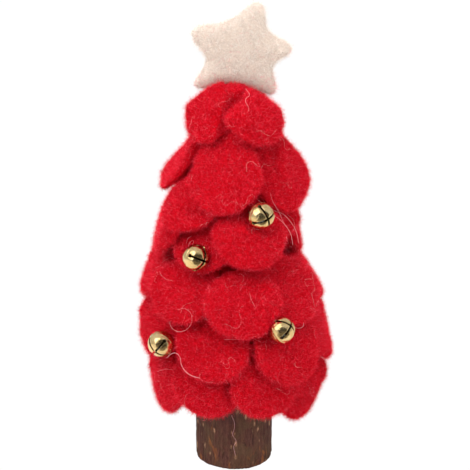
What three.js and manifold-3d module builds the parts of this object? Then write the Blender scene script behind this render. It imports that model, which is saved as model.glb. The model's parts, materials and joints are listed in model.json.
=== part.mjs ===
// A felt Christmas tree ornament: overlapping round wool-felt scales on a cone, a felt star on
// top, four small jingle bells stitched to the scales, and a slice of branch as the trunk.
// Millimetres, +Z up, the front of the tree towards -Y, the origin at the middle of the foot.

import * as THREE from "three";
import { mergeVertices } from "three/addons/utils/BufferGeometryUtils.js";
import Module from "manifold-3d";

const wasm = await Module();
wasm.setup();

// Driving dimensions: the trunk
const trunkDiameter = 30.6;
const trunkHeight = 35;
const trunkFootRound = 0.7;
const barkRidgeDepth = 0.5;

// Driving dimensions: the cone that carries the scales, and the dowel through trunk, cone and star
const coreBaseDiameter = 52;
const coreHeight = 119;
const coreTipDiameter = 8;
const dowelDiameter = 3;
const dowelTrunkDepth = 20;
const dowelStarDepth = 9;
const dowelClearance = 0.2;

// Driving dimensions: the felt scales
const scaleDiameter = 28;
const feltThickness = 5;
const skirtDiameter = 76;
const seatClearance = 0.35;

// Driving dimensions: the star
const starReach = 20;
const starThickness = 7;
const starTipRound = 8;
const starValleyRound = 5;
const starAcross = 3;

// Driving dimensions: the bells, their wire loops, pellets and stitches
const bellDiameter = 10;
const bellWall = 0.5;
const bellSlotWidth = 0.8;
const bellSlotEndDiameter = 1.4;
const loopWireDiameter = 0.7;
const loopDiameter = 3;
const loopStandOff = 0.4;
const pelletDiameter = 3;
const pelletClearance = 0.3;
const threadDiameter = 0.6;
const stitchDepth = 2.2;
const longestStitch = 4;
const stitchClearance = 0.3;
const pressDepth = 0.8;
const beddingDepth = 4;
const bellSwing = 20;

// One overrun serves every cut that runs past a face.
const cutOverrun = 1;

const feltRed = new THREE.MeshStandardMaterial({ color: 0xc41226, roughness: 1, metalness: 0 });
const feltCream = new THREE.MeshStandardMaterial({ color: 0xe7dacb, roughness: 1, metalness: 0 });
const coreRed = new THREE.MeshStandardMaterial({ color: 0x9d1020, roughness: 1, metalness: 0 });
const bark = new THREE.MeshStandardMaterial({ color: 0x563a31, roughness: 0.9, metalness: 0 });
const paleWood = new THREE.MeshStandardMaterial({ color: 0xc9a877, roughness: 0.8, metalness: 0 });
const brass = new THREE.MeshStandardMaterial({ color: 0xc9b26a, roughness: 0.25, metalness: 1 });
const steel = new THREE.MeshStandardMaterial({ color: 0x9a9a98, roughness: 0.3, metalness: 1 });
const redThread = new THREE.MeshStandardMaterial({ color: 0xb01a28, roughness: 0.9, metalness: 0 });

const radians = THREE.MathUtils.degToRad;

// A closed geometry as a solid that can be cut, and back again.
function solidOf(geometry) {
  const bare = geometry.index ? geometry.toNonIndexed() : geometry.clone();
  const merged = mergeVertices(
    new THREE.BufferGeometry().setAttribute("position", bare.getAttribute("position")),
  );
  return new wasm.Manifold(
    new wasm.Mesh({
      numProp: 3,
      vertProperties: merged.attributes.position.array,
      triVerts: new Uint32Array(merged.index.array),
    }),
  );
}

function geometryOf(solid) {
  const mesh = solid.getMesh();
  const geometry = new THREE.BufferGeometry();
  geometry.setAttribute("position", new THREE.BufferAttribute(mesh.vertProperties, 3));
  geometry.setIndex(new THREE.BufferAttribute(mesh.triVerts, 1));
  geometry.computeVertexNormals();
  return geometry;
}

function cut(geometry, ...tools) {
  return geometryOf(tools.reduce((left, tool) => left.subtract(solidOf(tool)), solidOf(geometry)));
}

function named(name, geometry, material) {
  const mesh = new THREE.Mesh(geometry, material);
  mesh.name = name;
  return mesh;
}

function uprightCylinder(diameter, bottom, top, sides) {
  const geometry = new THREE.CylinderGeometry(diameter / 2, diameter / 2, top - bottom, sides);
  geometry.rotateX(Math.PI / 2);
  geometry.translate(0, 0, (top + bottom) / 2);
  return geometry;
}

// A closed body between two like faces. Each face is a middle point and rings of points around
// it, listed from the middle out; the first face looks out of the body towards its viewer, who
// sees its rings run clockwise, and the outermost rings are joined by a rim.
function doubleDisc(points, ringCount, sides) {
  const backStart = points.length / 3 / 2;
  const at = (ring, side) => (ring ? 1 + (ring - 1) * sides + (side % sides) : 0);
  const faces = [];
  const addBoth = (a, b, c) => {
    faces.push(a, c, b, backStart + a, backStart + b, backStart + c);
  };
  for (let side = 0; side < sides; side++) {
    addBoth(0, at(1, side), at(1, side + 1));
    for (let ring = 1; ring < ringCount - 1; ring++) {
      addBoth(at(ring, side), at(ring + 1, side), at(ring + 1, side + 1));
      addBoth(at(ring, side), at(ring + 1, side + 1), at(ring, side + 1));
    }
    const rim = at(ringCount - 1, side);
    const nextRim = at(ringCount - 1, side + 1);
    faces.push(rim, nextRim, backStart + nextRim, rim, backStart + nextRim, backStart + rim);
  }
  const geometry = new THREE.BufferGeometry();
  geometry.setAttribute("position", new THREE.Float32BufferAttribute(points, 3));
  geometry.setIndex(faces);
  return geometry;
}

// The trunk: a branch slice that is not quite round, with a flat foot and shallow bark ridges.
const trunkSides = 32;
const trunkOvalShare = 0.018;
const trunkOvalTurn = 0.9;
const trunkLobeShare = 0.012;
const barkRidges = 9;
const barkPatches = 5;
const barkTwist = 3;
const barkTwistReach = 1.3;

function trunkRadius(angle, height) {
  const oval = trunkOvalShare * Math.cos(2 * angle + trunkOvalTurn);
  const lobes = trunkLobeShare * Math.sin(3 * angle);
  const twist = barkTwistReach * Math.sin((barkTwist * height) / trunkHeight);
  const ridge = Math.sin(barkRidges * angle + twist) * Math.cos(barkPatches * angle);
  return (trunkDiameter / 2) * (1 + oval + lobes) + (barkRidgeDepth / 2) * ridge;
}

function trunkGeometry() {
  const levels = [
    { height: 0, inset: trunkFootRound },
    { height: trunkFootRound, inset: 0 },
    { height: trunkHeight / 2, inset: 0 },
    { height: trunkHeight, inset: 0 },
  ];
  const points = [];
  const faces = [];
  for (const { height, inset } of levels) {
    for (let i = 0; i < trunkSides; i++) {
      const angle = (2 * Math.PI * i) / trunkSides;
      const radius = trunkRadius(angle, height) - inset;
      points.push(radius * Math.cos(angle), radius * Math.sin(angle), height);
    }
  }
  const footMiddle = points.length / 3;
  points.push(0, 0, 0, 0, 0, trunkHeight);
  for (let i = 0; i < trunkSides; i++) {
    const next = (i + 1) % trunkSides;
    const last = (levels.length - 1) * trunkSides;
    faces.push(footMiddle, next, i, footMiddle + 1, last + i, last + next);
    for (let level = 0; level < last; level += trunkSides) {
      faces.push(level + i, level + next, level + trunkSides + next);
      faces.push(level + i, level + trunkSides + next, level + trunkSides + i);
    }
  }
  const geometry = new THREE.BufferGeometry();
  geometry.setAttribute("position", new THREE.Float32BufferAttribute(points, 3));
  geometry.setIndex(faces);
  return geometry;
}

// The cone stands on the trunk. Its side swells a little, as a wound or moulded cone does.
const coreBase = trunkHeight;
const coreTop = coreBase + coreHeight;
const coreSwellPower = 1.3;
const coreLevels = 6;
const coreSides = 28;

function coreRadius(height) {
  const share = THREE.MathUtils.clamp((height - coreBase) / coreHeight, 0, 1);
  const tip = coreTipDiameter / 2;
  return tip + (coreBaseDiameter / 2 - tip) * (1 - share ** coreSwellPower);
}

// grow makes a larger copy, which cuts its neighbours with a gap.
function coreGeometry(grow = 0) {
  const profile = [new THREE.Vector2(0, coreBase - grow)];
  for (let i = 0; i <= coreLevels; i++) {
    const height = coreBase + (coreHeight * i) / coreLevels;
    const outerHeight = i ? height + (i === coreLevels ? grow : 0) : height - grow;
    profile.push(new THREE.Vector2(coreRadius(height) + grow, outerHeight));
  }
  profile.push(new THREE.Vector2(0, coreTop + grow));
  return new THREE.LatheGeometry(profile, coreSides).rotateX(Math.PI / 2);
}

const dowelBottom = trunkHeight - dowelTrunkDepth;
const dowelTop = coreTop + dowelStarDepth;
const dowelSides = 12;

function dowelHole() {
  const diameter = dowelDiameter + 2 * dowelClearance;
  return uprightCylinder(diameter, dowelBottom - dowelClearance, dowelTop + dowelClearance, dowelSides);
}

// The scales, from the skirt up to the top. Within a row each later scale lies over the earlier
// ones. azimuth turns to the right from the front, in degrees. lowShare is the height of the
// scale's free lower edge above the cone's base, as a share of the cone's height. edgeShare is
// how far that edge stands out, as a share of the skirt's radius, and sizeShare is the scale's
// share of the usual diameter. For a row, or a scale that differs from it, bendShare is how much
// the side view is an arc, which bends in at the top, tuckShare lengthens the upper half, which
// is tucked under the row above, and taperShare narrows it.
const scaleRows = [
  {
    bendShare: 0.9,
    tuckShare: 1.2,
    taperShare: 0,
    scales: [
      { azimuth: 150, lowShare: -0.05, edgeShare: 0.88, sizeShare: 1.04 },
      { azimuth: -164, lowShare: -0.04, edgeShare: 0.87, sizeShare: 1.04 },
      { azimuth: -121, lowShare: -0.06, edgeShare: 0.84, sizeShare: 1.02 },
      { azimuth: 108, lowShare: -0.06, edgeShare: 0.85, sizeShare: 1.02 },
      { azimuth: -68, lowShare: -0.09, edgeShare: 0.76, sizeShare: 0.98 },
      { azimuth: 60, lowShare: -0.1, edgeShare: 0.8, sizeShare: 1 },
      { azimuth: -19, lowShare: -0.042, edgeShare: 0.89, sizeShare: 1 },
      { azimuth: 22, lowShare: -0.036, edgeShare: 0.9, sizeShare: 1 },
    ],
  },
  {
    bendShare: 0.7,
    tuckShare: 1.1,
    taperShare: 0,
    scales: [
      { azimuth: 138, lowShare: 0.1, edgeShare: 0.99, sizeShare: 1.06 },
      { azimuth: -170, lowShare: 0.09, edgeShare: 0.98, sizeShare: 1.06 },
      { azimuth: -118, lowShare: 0.12, edgeShare: 0.96, sizeShare: 1.06 },
      { azimuth: 86, lowShare: 0.08, edgeShare: 0.97, sizeShare: 1.06 },
      { azimuth: -66, lowShare: 0.12, edgeShare: 0.96, sizeShare: 1.08 },
      { azimuth: -14, lowShare: 0.1, edgeShare: 0.98, sizeShare: 1.02 },
      { azimuth: 36.5, lowShare: 0.078, edgeShare: 1, sizeShare: 1.02 },
    ],
  },
  {
    bendShare: 0.6,
    tuckShare: 1,
    taperShare: 0,
    scales: [
      { azimuth: 159, lowShare: 0.28, edgeShare: 0.93, sizeShare: 1.1 },
      { azimuth: -141, lowShare: 0.29, edgeShare: 0.93, sizeShare: 1.1 },
      { azimuth: 98, lowShare: 0.27, edgeShare: 0.84, sizeShare: 1.02, tuckShare: 0.5 },
      { azimuth: -86, lowShare: 0.3, edgeShare: 0.94, sizeShare: 1.02, tuckShare: 0.7 },
      { azimuth: 46, lowShare: 0.26, edgeShare: 0.97, sizeShare: 1.04 },
      { azimuth: -37, lowShare: 0.277, edgeShare: 0.98, sizeShare: 1 },
      { azimuth: 6, lowShare: 0.258, edgeShare: 1, sizeShare: 1.02 },
    ],
  },
  {
    bendShare: 0.4,
    tuckShare: 0.95,
    taperShare: 0,
    scales: [
      { azimuth: 164, lowShare: 0.46, edgeShare: 0.82, sizeShare: 1.1 },
      { azimuth: -141, lowShare: 0.47, edgeShare: 0.82, sizeShare: 1.04, tuckShare: 0.7 },
      { azimuth: 106, lowShare: 0.43, edgeShare: 0.56, sizeShare: 0.96, bendShare: 0, tuckShare: 0.7 },
      { azimuth: 41, lowShare: 0.5, edgeShare: 0.56, sizeShare: 0.94, tuckShare: 1 },
      { azimuth: -27, lowShare: 0.445, edgeShare: 0.86, sizeShare: 1 },
      { azimuth: -74, lowShare: 0.465, edgeShare: 0.74, sizeShare: 1, bendShare: 0, tuckShare: 0.7 },
      { azimuth: 13, lowShare: 0.472, edgeShare: 0.89, sizeShare: 1 },
    ],
  },
  {
    bendShare: 0.3,
    tuckShare: 1.3,
    taperShare: 0.3,
    scales: [
      { azimuth: 170, lowShare: 0.62, edgeShare: 0.7, sizeShare: 1.04 },
      { azimuth: -148, lowShare: 0.59, edgeShare: 0.6, sizeShare: 0.98, tuckShare: 0.75 },
      { azimuth: 113, lowShare: 0.6, edgeShare: 0.64, sizeShare: 1 },
      { azimuth: -42, lowShare: 0.57, edgeShare: 0.6, sizeShare: 0.94, bendShare: 0, tuckShare: 0.6 },
      { azimuth: -95, lowShare: 0.66, edgeShare: 0.61, sizeShare: 0.84, bendShare: 0, tuckShare: 1.1 },
      { azimuth: 54, lowShare: 0.613, edgeShare: 0.62, sizeShare: 1, tuckShare: 1.5 },
      { azimuth: -9.5, lowShare: 0.637, edgeShare: 0.74, sizeShare: 0.96, tuckShare: 1.75 },
    ],
  },
  {
    bendShare: 0.3,
    tuckShare: 0.9,
    taperShare: 0.55,
    scales: [
      { azimuth: 137, lowShare: 0.83, edgeShare: 0.38, sizeShare: 0.82 },
      { azimuth: -137, lowShare: 0.84, edgeShare: 0.37, sizeShare: 0.78 },
      { azimuth: -40, lowShare: 0.838, edgeShare: 0.44, sizeShare: 0.86 },
      { azimuth: 34, lowShare: 0.834, edgeShare: 0.46, sizeShare: 0.9, tuckShare: 0.75, taperShare: 0.75 },
    ],
  },
];

// A scale is a disc of felt with a soft rim, on a grid of rings around its middle. Each vertex
// has an angle and a height on the tree, and the radius there comes from the scale's own bend
// and from what lies beneath it.
const ringShares = [0, 0.5, 0.86, 1];
const ringThicknessShares = [1, 0.98, 0.84, 0.42];
const ringSides = 16;
const smoothRounds = 8;
const layRounds = 4;
const supportSamples = 8;
const supportReachShare = 0.25;
const flatShare = 0.25;

function ringPoint(ring, side) {
  const turn = (2 * Math.PI * side) / ringSides;
  return { across: ringShares[ring] * Math.sin(turn), down: -ringShares[ring] * Math.cos(turn) };
}

// How far down a scale a point lies, from 0 at its seat to 1 at its free edge.
function fallenAt(scale, down) {
  return (down * (down < 0 ? scale.tuckShare : 1) + scale.tuckShare) / (1 + scale.tuckShare);
}

// How wide a scale is at a height on it, as a share of a disc's width there.
function widthAt(scale, down) {
  return down < 0 ? 1 + down * scale.taperShare : 1;
}

// The radius of a scale's middle surface, from its seat at the top to its free edge.
function bentRadius(scale, fallen) {
  const arc = 1 - (1 - fallen) ** 2;
  const bent = THREE.MathUtils.lerp(fallen, arc, scale.bendShare);
  return THREE.MathUtils.lerp(scale.top, scale.edge, bent);
}

// The outer surface of a placed scale over a point of the tree, or nothing beyond its rim.
function radiusOver(scale, angle, height) {
  const drop = (scale.middle - height) / (scale.reach * scale.upShare);
  const down = drop < 0 ? drop / scale.tuckShare : drop;
  if (Math.abs(down) > 1) return 0;
  const turned = Math.atan2(Math.sin(angle - scale.angle), Math.cos(angle - scale.angle));
  const bent = bentRadius(scale, fallenAt(scale, down));
  const across = (turned * (bent + scale.lift)) / (scale.reach * widthAt(scale, down));
  const share = Math.hypot(across, down);
  if (share > 1) return 0;
  const last = ringShares.length - 1;
  let ring = 1;
  while (ring < last && share > ringShares[ring]) ring++;
  const between = (share - ringShares[ring - 1]) / (ringShares[ring] - ringShares[ring - 1]);
  const turn = ((Math.atan2(across, -down) / (2 * Math.PI) + 1) % 1) * ringSides;
  const side = Math.floor(turn);
  const onRing = (which) =>
    THREE.MathUtils.lerp(
      scale.outer[which][side % ringSides],
      scale.outer[which][(side + 1) % ringSides],
      turn - side,
    );
  return THREE.MathUtils.lerp(onRing(ring - 1), onRing(ring), between);
}

function supportAt(placed, angle, height) {
  return Math.max(coreRadius(height), ...placed.map((scale) => radiusOver(scale, angle, height)));
}

// The highest support within a short reach, so that the felt clears every edge beneath it.
function supportNear(placed, angle, height) {
  const reach = feltThickness * supportReachShare;
  const middle = supportAt(placed, angle, height);
  let most = middle;
  for (let i = 0; i < supportSamples; i++) {
    const turn = (2 * Math.PI * i) / supportSamples;
    const besideAngle = angle + (reach * Math.cos(turn)) / Math.max(middle, feltThickness);
    most = Math.max(most, supportAt(placed, besideAngle, height + reach * Math.sin(turn)));
  }
  return most;
}

function neighbours(ring, side) {
  const around = [
    [ring, (side + 1) % ringSides],
    [ring, (side + ringSides - 1) % ringSides],
    [ring - 1, side],
  ];
  if (ring < ringShares.length - 1) around.push([ring + 1, side]);
  return around;
}

// Where a scale's seat and free edge are, before the scales beneath push it out. Its thin top
// rim lies on the cone.
function startScale(place) {
  const reach = (place.sizeShare * scaleDiameter) / 2;
  const edge = (place.edgeShare * skirtDiameter - feltThickness) / 2;
  const low = coreBase + place.lowShare * coreHeight;
  const length = reach * (1 + place.tuckShare);
  const rimShare = ringThicknessShares[ringThicknessShares.length - 1];
  const seatOf = (top) => coreRadius(top) + seatClearance + (rimShare * feltThickness) / 2;
  const leanShare = THREE.MathUtils.clamp((edge - seatOf(low + length)) / length, -1, 1);
  const upShare = Math.cos(Math.asin(leanShare));
  const top = seatOf(low + length * upShare);
  const middle = low + reach * upShare;
  return { ...place, reach, upShare, middle, angle: radians(place.azimuth), edge, top, lift: 0 };
}

function meanOf(values) {
  return values.reduce((sum, each) => sum + each, 0) / values.length;
}

// Spreads the push that some vertices need over the whole scale, so that it bends softly.
function spreadPush(needed) {
  const push = needed.map((ring) => [...ring]);
  for (let round = 0; round < smoothRounds; round++) {
    push[0].fill(Math.max(needed[0][0], meanOf(push[1])));
    for (let ring = 1; ring < ringShares.length; ring++) {
      for (let side = 0; side < ringSides; side++) {
        const around = neighbours(ring, side).map(([r, s]) => push[r][s]);
        push[ring][side] = Math.max(needed[ring][side], meanOf(around));
      }
    }
  }
  return push;
}

// Lays one scale on what is already placed. Its grid holds each vertex's angle, height, and
// outer and inner radius. The width is kept as the scale is pushed out, so it is laid in rounds.
function layScale(place, placed) {
  const scale = startScale(place);
  for (let round = 0; round < layRounds; round++) {
    const grid = ringShares.map((_, ring) =>
      Array.from({ length: ringSides }, (_, side) => {
        const { across, down } = ringPoint(ring, side);
        const bent = bentRadius(scale, fallenAt(scale, down));
        const drop = down * (down < 0 ? scale.tuckShare : 1);
        const aside = across * scale.reach * widthAt(scale, down);
        const angle = scale.angle + aside / (bent + scale.lift);
        const height = scale.middle - drop * scale.reach * scale.upShare;
        const radius = bent + (flatShare * aside ** 2) / (2 * bent);
        return { angle, height, radius };
      }),
    );
    const halfThickness = ringThicknessShares.map((share) => (share * feltThickness) / 2);
    const needed = grid.map((points, ring) =>
      points.map(({ angle, height, radius }) => {
        const support = supportNear(placed, angle, height) + seatClearance;
        return Math.max(0, support + halfThickness[ring] - radius);
      }),
    );
    const push = spreadPush(needed);
    const radii = grid.map((points, ring) =>
      points.map(({ radius }, side) => radius + push[ring][side]),
    );
    scale.angles = grid.map((points) => points.map(({ angle }) => angle));
    scale.heights = grid.map((points) => points.map(({ height }) => height));
    scale.outer = radii.map((ring, i) => ring.map((radius) => radius + halfThickness[i]));
    scale.inner = radii.map((ring, i) => ring.map((radius) => radius - halfThickness[i]));
    if (round < layRounds - 1) scale.lift = meanOf(push.flat());
  }
  return scale;
}

// The scale's closed surface. grow makes a larger copy, which cuts its neighbours with a gap.
function scaleGeometry(scale, grow = 0) {
  const points = [];
  const wider = 1 + grow / scale.reach;
  const addSide = (radii, offset) => {
    ringShares.forEach((_, ring) => {
      for (let side = 0; side < (ring ? ringSides : 1); side++) {
        const angle = scale.angle + (scale.angles[ring][side] - scale.angle) * wider;
        const height = scale.middle + (scale.heights[ring][side] - scale.middle) * wider;
        const radius = radii[ring][side] + offset;
        points.push(radius * Math.sin(angle), -radius * Math.cos(angle), height);
      }
    });
  };
  addSide(scale.outer, grow);
  addSide(scale.inner, -grow);
  return doubleDisc(points, ringShares.length, ringSides);
}

// The star's corners, from its top tip round to the right: turn in degrees, and reachShare of
// the star's reach to the sharp corner before it is rounded. Tips and valleys take turns.
const starCornerShares = [
  { turn: 20, reachShare: 1.17 },
  { turn: 51, reachShare: 0.57 },
  { turn: 85, reachShare: 1.12 },
  { turn: 113, reachShare: 0.55 },
  { turn: 141, reachShare: 1.17 },
  { turn: 188, reachShare: 0.57 },
  { turn: 235, reachShare: 1.3 },
  { turn: 256, reachShare: 0.6 },
  { turn: 293, reachShare: 1.2 },
  { turn: 338, reachShare: 0.6 },
];
const starValleyShare = 0.6;
const starMiddle = coreTop + starReach * starValleyShare;
const starOutlineSteps = 45;
const starRingShares = [0, 0.6, 0.88, 1];
const starThicknessShares = [1, 0.95, 0.76, 0.32];

// A corner is rounded over no more than this share of each side.
const mostRoundShare = 0.48;

function starOutline() {
  const corners = starCornerShares.map(({ turn, reachShare }) => {
    const reach = starReach * reachShare;
    return new THREE.Vector2(reach * Math.sin(radians(turn)), reach * Math.cos(radians(turn)));
  });
  const shape = new THREE.Shape();
  corners.forEach((corner, i) => {
    const round = i % 2 ? starValleyRound : starTipRound;
    const towards = (other) => {
      const share = Math.min(mostRoundShare, round / corner.distanceTo(other));
      return corner.clone().lerp(other, share);
    };
    const start = towards(corners[(i + corners.length - 1) % corners.length]);
    const end = towards(corners[(i + 1) % corners.length]);
    if (i) shape.lineTo(start.x, start.y);
    else shape.moveTo(start.x, start.y);
    shape.quadraticCurveTo(corner.x, corner.y, end.x, end.y);
  });
  shape.closePath();
  return shape.getSpacedPoints(starOutlineSteps).slice(0, starOutlineSteps);
}

// grow makes a larger copy, which cuts its neighbours with a gap.
function starGeometry(grow = 0) {
  const outline = starOutline();
  const wider = 1 + grow / starReach;
  const points = [];
  for (const face of [-1, 1]) {
    starRingShares.forEach((share, ring) => {
      const depth = face * ((starThickness * starThicknessShares[ring]) / 2 + grow);
      for (const corner of ring ? outline : [outline[0]]) {
        const across = starAcross + wider * share * corner.x;
        points.push(across, depth, starMiddle + wider * share * corner.y);
      }
    });
  }
  return doubleDisc(points, starRingShares.length, starOutlineSteps);
}

// The bells. azimuth and heightShare place the middle. facingShares is where the crossed slots
// point, and slotShares is the way that one slot runs, each as parts of +X, +Y and +Z.
const bellPlaces = [
  {
    azimuth: 19,
    heightShare: 0.635,
    facingShares: [0.51, -0.86, 0],
    slotShares: [-0.32, -0.19, 0.93],
  },
  {
    azimuth: -25.5,
    heightShare: 0.5,
    facingShares: [0.63, -0.776, -0.03],
    slotShares: [-0.685, -0.574, 0.45],
  },
  {
    azimuth: 27,
    heightShare: 0.2765,
    facingShares: [0.677, -0.516, 0.526],
    slotShares: [-0.274, -0.84, -0.47],
  },
  {
    azimuth: -45.3,
    heightShare: 0.204,
    facingShares: [-0.43, -0.833, -0.345],
    slotShares: [0.495, -0.538, 0.682],
  },
];
const bellRadius = bellDiameter / 2;
const bellSlotEndTurn = 80;
const bellSides = 12;
const bellLevels = 8;
const slotEndSides = 8;
const pelletSides = 10;
const pelletLevels = 7;
const pocketSides = 8;
const pocketLevels = 6;
const wireSides = 6;
const loopSteps = 10;
const threadSteps = 12;
const swingShares = [0, 0.5, 1];

// Distances from the bell's middle, back along its facing, to the loop's middle and the thread.
const loopBack = bellRadius + loopStandOff;
const threadGap = (loopWireDiameter + threadDiameter) / 2 + stitchClearance;
const threadBack = loopBack + loopDiameter / 2 - threadGap;
const pocketRadius = (loopDiameter + loopWireDiameter) / 2 + stitchClearance + seatClearance;

function outwardAt(angle) {
  return new THREE.Vector3(Math.sin(angle), -Math.cos(angle), 0);
}

// How far from the axis a ball may come in, at an angle and height, before it meets the scales.
const ballSteps = 6;

function ballSeat(placed, angle, height, radius) {
  const touch = radius + seatClearance;
  let seat = 0;
  for (let i = -ballSteps; i <= ballSteps; i++) {
    for (let j = -ballSteps; j <= ballSteps; j++) {
      const across = (touch * i) / ballSteps;
      const up = (touch * j) / ballSteps;
      const away = Math.hypot(across, up);
      if (away >= touch) continue;
      const aside = (2 * across) / skirtDiameter;
      const under = supportAt(placed, angle + aside, height + up);
      seat = Math.max(seat, under + Math.sqrt(touch ** 2 - away ** 2));
    }
  }
  return seat;
}

// Where a bell and its stitch go. The stitch draws the bell and its loop into the felt, and a
// bell that lies on its side beds in deeper.
function bellPose(place, placed) {
  const angle = radians(place.azimuth);
  const outward = outwardAt(angle);
  const facing = new THREE.Vector3(...place.facingShares).normalize();
  const hinge = facing.clone().cross(outward).normalize();
  const height = coreBase + place.heightShare * coreHeight;
  const bedding = pressDepth + beddingDepth * (1 - facing.dot(outward));
  const out = ballSeat(placed, angle, height, bellRadius) - bedding;
  const middle = outward.clone().multiplyScalar(out).setZ(height);
  const linkFrom = (bellMiddle) => bellMiddle.clone().addScaledVector(facing, -threadBack);
  const stitchFrom = (link) => {
    const felt = supportAt(placed, Math.atan2(link.x, -link.y), link.z);
    return Math.hypot(link.x, link.y) - felt + stitchDepth;
  };
  const slack = Math.max(0, stitchFrom(linkFrom(middle)) - longestStitch);
  middle.addScaledVector(outward, -slack);
  const link = linkFrom(middle);
  const stitchDiameter = Math.max(stitchDepth, stitchFrom(link));
  return { outward, facing, hinge, middle, link, stitchDiameter };
}

function ringGeometry(ringDiameter, wireDiameter, ringSteps) {
  return new THREE.TorusGeometry(ringDiameter / 2, wireDiameter / 2, wireSides, ringSteps);
}

// The loop's ring lies in the plane of local X and Z, and links the shell's back to the thread.
function loopGeometry(clearance = 0) {
  const ring = ringGeometry(loopDiameter, loopWireDiameter + 2 * clearance, loopSteps);
  return ring.rotateX(Math.PI / 2).translate(0, 0, -loopBack);
}

// The shell opens towards local +Z with two crossed slots, whose ends are round.
function shellGeometry(slotTurn) {
  const outer = new THREE.SphereGeometry(bellRadius, bellSides, bellLevels);
  const inner = new THREE.SphereGeometry(bellRadius - bellWall, bellSides, bellLevels);
  const slotReach = bellRadius * Math.sin(radians(bellSlotEndTurn));
  const slotFloor = bellRadius * Math.cos(radians(bellSlotEndTurn));
  const slotTop = bellRadius + cutOverrun;
  const endRadius = bellSlotEndDiameter / 2;
  const tools = [inner.rotateX(Math.PI / 2), loopGeometry(stitchClearance)];
  for (const turn of [slotTurn, slotTurn + Math.PI / 2]) {
    const slot = new THREE.BoxGeometry(2 * slotReach, bellSlotWidth, slotTop - slotFloor);
    slot.translate(0, 0, (slotTop + slotFloor) / 2);
    const endLength = bellDiameter + 2 * cutOverrun;
    const end = new THREE.CylinderGeometry(endRadius, endRadius, endLength, slotEndSides);
    end.rotateZ(Math.PI / 2).translate(0, 0, slotFloor + endRadius);
    tools.push(slot.rotateZ(turn), end.rotateZ(turn));
  }
  return cut(outer.rotateX(Math.PI / 2), ...tools);
}

function threadGeometry(pose, clearance = 0) {
  const ring = ringGeometry(pose.stitchDiameter, threadDiameter + 2 * clearance, threadSteps);
  const across = pose.hinge;
  const frame = new THREE.Matrix4().makeBasis(across, pose.outward, across.clone().cross(pose.outward));
  const middle = pose.link.clone().addScaledVector(pose.outward, -pose.stitchDiameter / 2);
  return ring.applyMatrix4(frame.setPosition(middle));
}

// The hollows that the loop and the bell press into the felt, as far as the bell swings.
function hollowGeometries(pose) {
  const loopBall = new THREE.SphereGeometry(pocketRadius, pocketSides, pocketLevels);
  const loopMiddle = pose.middle.clone().addScaledVector(pose.facing, -loopBack);
  const hollows = [loopBall.translate(loopMiddle.x, loopMiddle.y, loopMiddle.z)];
  for (const swingShare of swingShares) {
    const bellBall = new THREE.SphereGeometry(bellRadius + seatClearance, bellSides, bellLevels);
    const arm = pose.middle.clone().sub(pose.link);
    const middle = arm.applyAxisAngle(pose.hinge, radians(bellSwing) * swingShare).add(pose.link);
    hollows.push(bellBall.translate(middle.x, middle.y, middle.z));
  }
  return hollows;
}

function makeBell(number, place, pose) {
  const side = pose.hinge.clone().cross(pose.facing);
  const frame = new THREE.Matrix4().makeBasis(side, pose.hinge, pose.facing);
  const slotAcross = new THREE.Vector3(...place.slotShares);
  const slotTurn = Math.atan2(slotAcross.dot(pose.hinge), slotAcross.dot(side));
  const bell = new THREE.Group();
  bell.add(named(`bell${number}_shell`, shellGeometry(slotTurn), brass));
  bell.add(named(`bell${number}_loop`, loopGeometry(), brass));
  bell.quaternion.setFromRotationMatrix(frame);
  bell.position.copy(pose.middle);
  return bell;
}

function makePellet(number, pose) {
  const ball = new THREE.SphereGeometry(pelletDiameter / 2, pelletSides, pelletLevels);
  const pellet = named(`bell${number}_pellet`, ball.rotateX(Math.PI / 2), steel);
  const drop = bellRadius - bellWall - pelletDiameter / 2 - pelletClearance;
  pellet.position.copy(pose.middle);
  pellet.position.z -= drop;
  return pellet;
}

// The largest body that is left of a solid.
function largestBody(solid) {
  return solid.decompose().reduce((most, body) => (body.volume() > most.volume() ? body : most));
}

// Everything is placed from the bottom up.
const placed = [];
const scaleParts = [];
scaleRows.forEach(({ scales, ...row }, rowIndex) => {
  scales.forEach((place, i) => {
    const scale = layScale({ ...row, ...place }, placed);
    placed.push(scale);
    const name = `felt_scale_row${rowIndex + 1}_${i + 1}`;
    const cutter = solidOf(scaleGeometry(scale, seatClearance));
    scaleParts.push({ name, solid: solidOf(scaleGeometry(scale)), cutter });
  });
});
const poses = bellPlaces.map((place) => bellPose(place, placed));
const starCutter = solidOf(starGeometry(seatClearance));
const stitchCutters = poses.flatMap((pose) => [
  solidOf(threadGeometry(pose, stitchClearance)),
  ...hollowGeometries(pose).map(solidOf),
]);

const ornament = new THREE.Group();
ornament.name = "felt_tree_ornament";
ornament.add(named("trunk_log", cut(trunkGeometry(), dowelHole()), bark));
ornament.add(named("core_cone", cut(coreGeometry(), dowelHole()), coreRed));
ornament.add(
  named("centre_dowel", uprightCylinder(dowelDiameter, dowelBottom, dowelTop, dowelSides), paleWood),
);
ornament.add(named("star", cut(starGeometry(), dowelHole(), coreGeometry(seatClearance)), feltCream));
scaleParts.forEach(({ name, solid }, i) => {
  const above = scaleParts.slice(i + 1).map(({ cutter }) => cutter);
  const cutters = [...above, starCutter, ...stitchCutters];
  const left = largestBody(cutters.reduce((rest, cutter) => rest.subtract(cutter), solid));
  ornament.add(named(name, geometryOf(left), feltRed));
});
poses.forEach((pose, i) => {
  ornament.add(makeBell(i + 1, bellPlaces[i], pose));
  ornament.add(makePellet(i + 1, pose));
  ornament.add(named(`bell${i + 1}_thread`, threadGeometry(pose), redThread));
});

export default ornament;
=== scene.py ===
# A felt Christmas tree ornament: soft red wool scales on a cone, a cream felt star, four small
# brass jingle bells stitched on, and a slice of branch as the trunk. Work is in millimetres in
# the model's own frame, and each finished mesh is scaled to metres.

import json
import math

import bpy
import numpy as np
from mathutils import Matrix, Vector, noise
from mathutils.bvhtree import BVHTree


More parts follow.
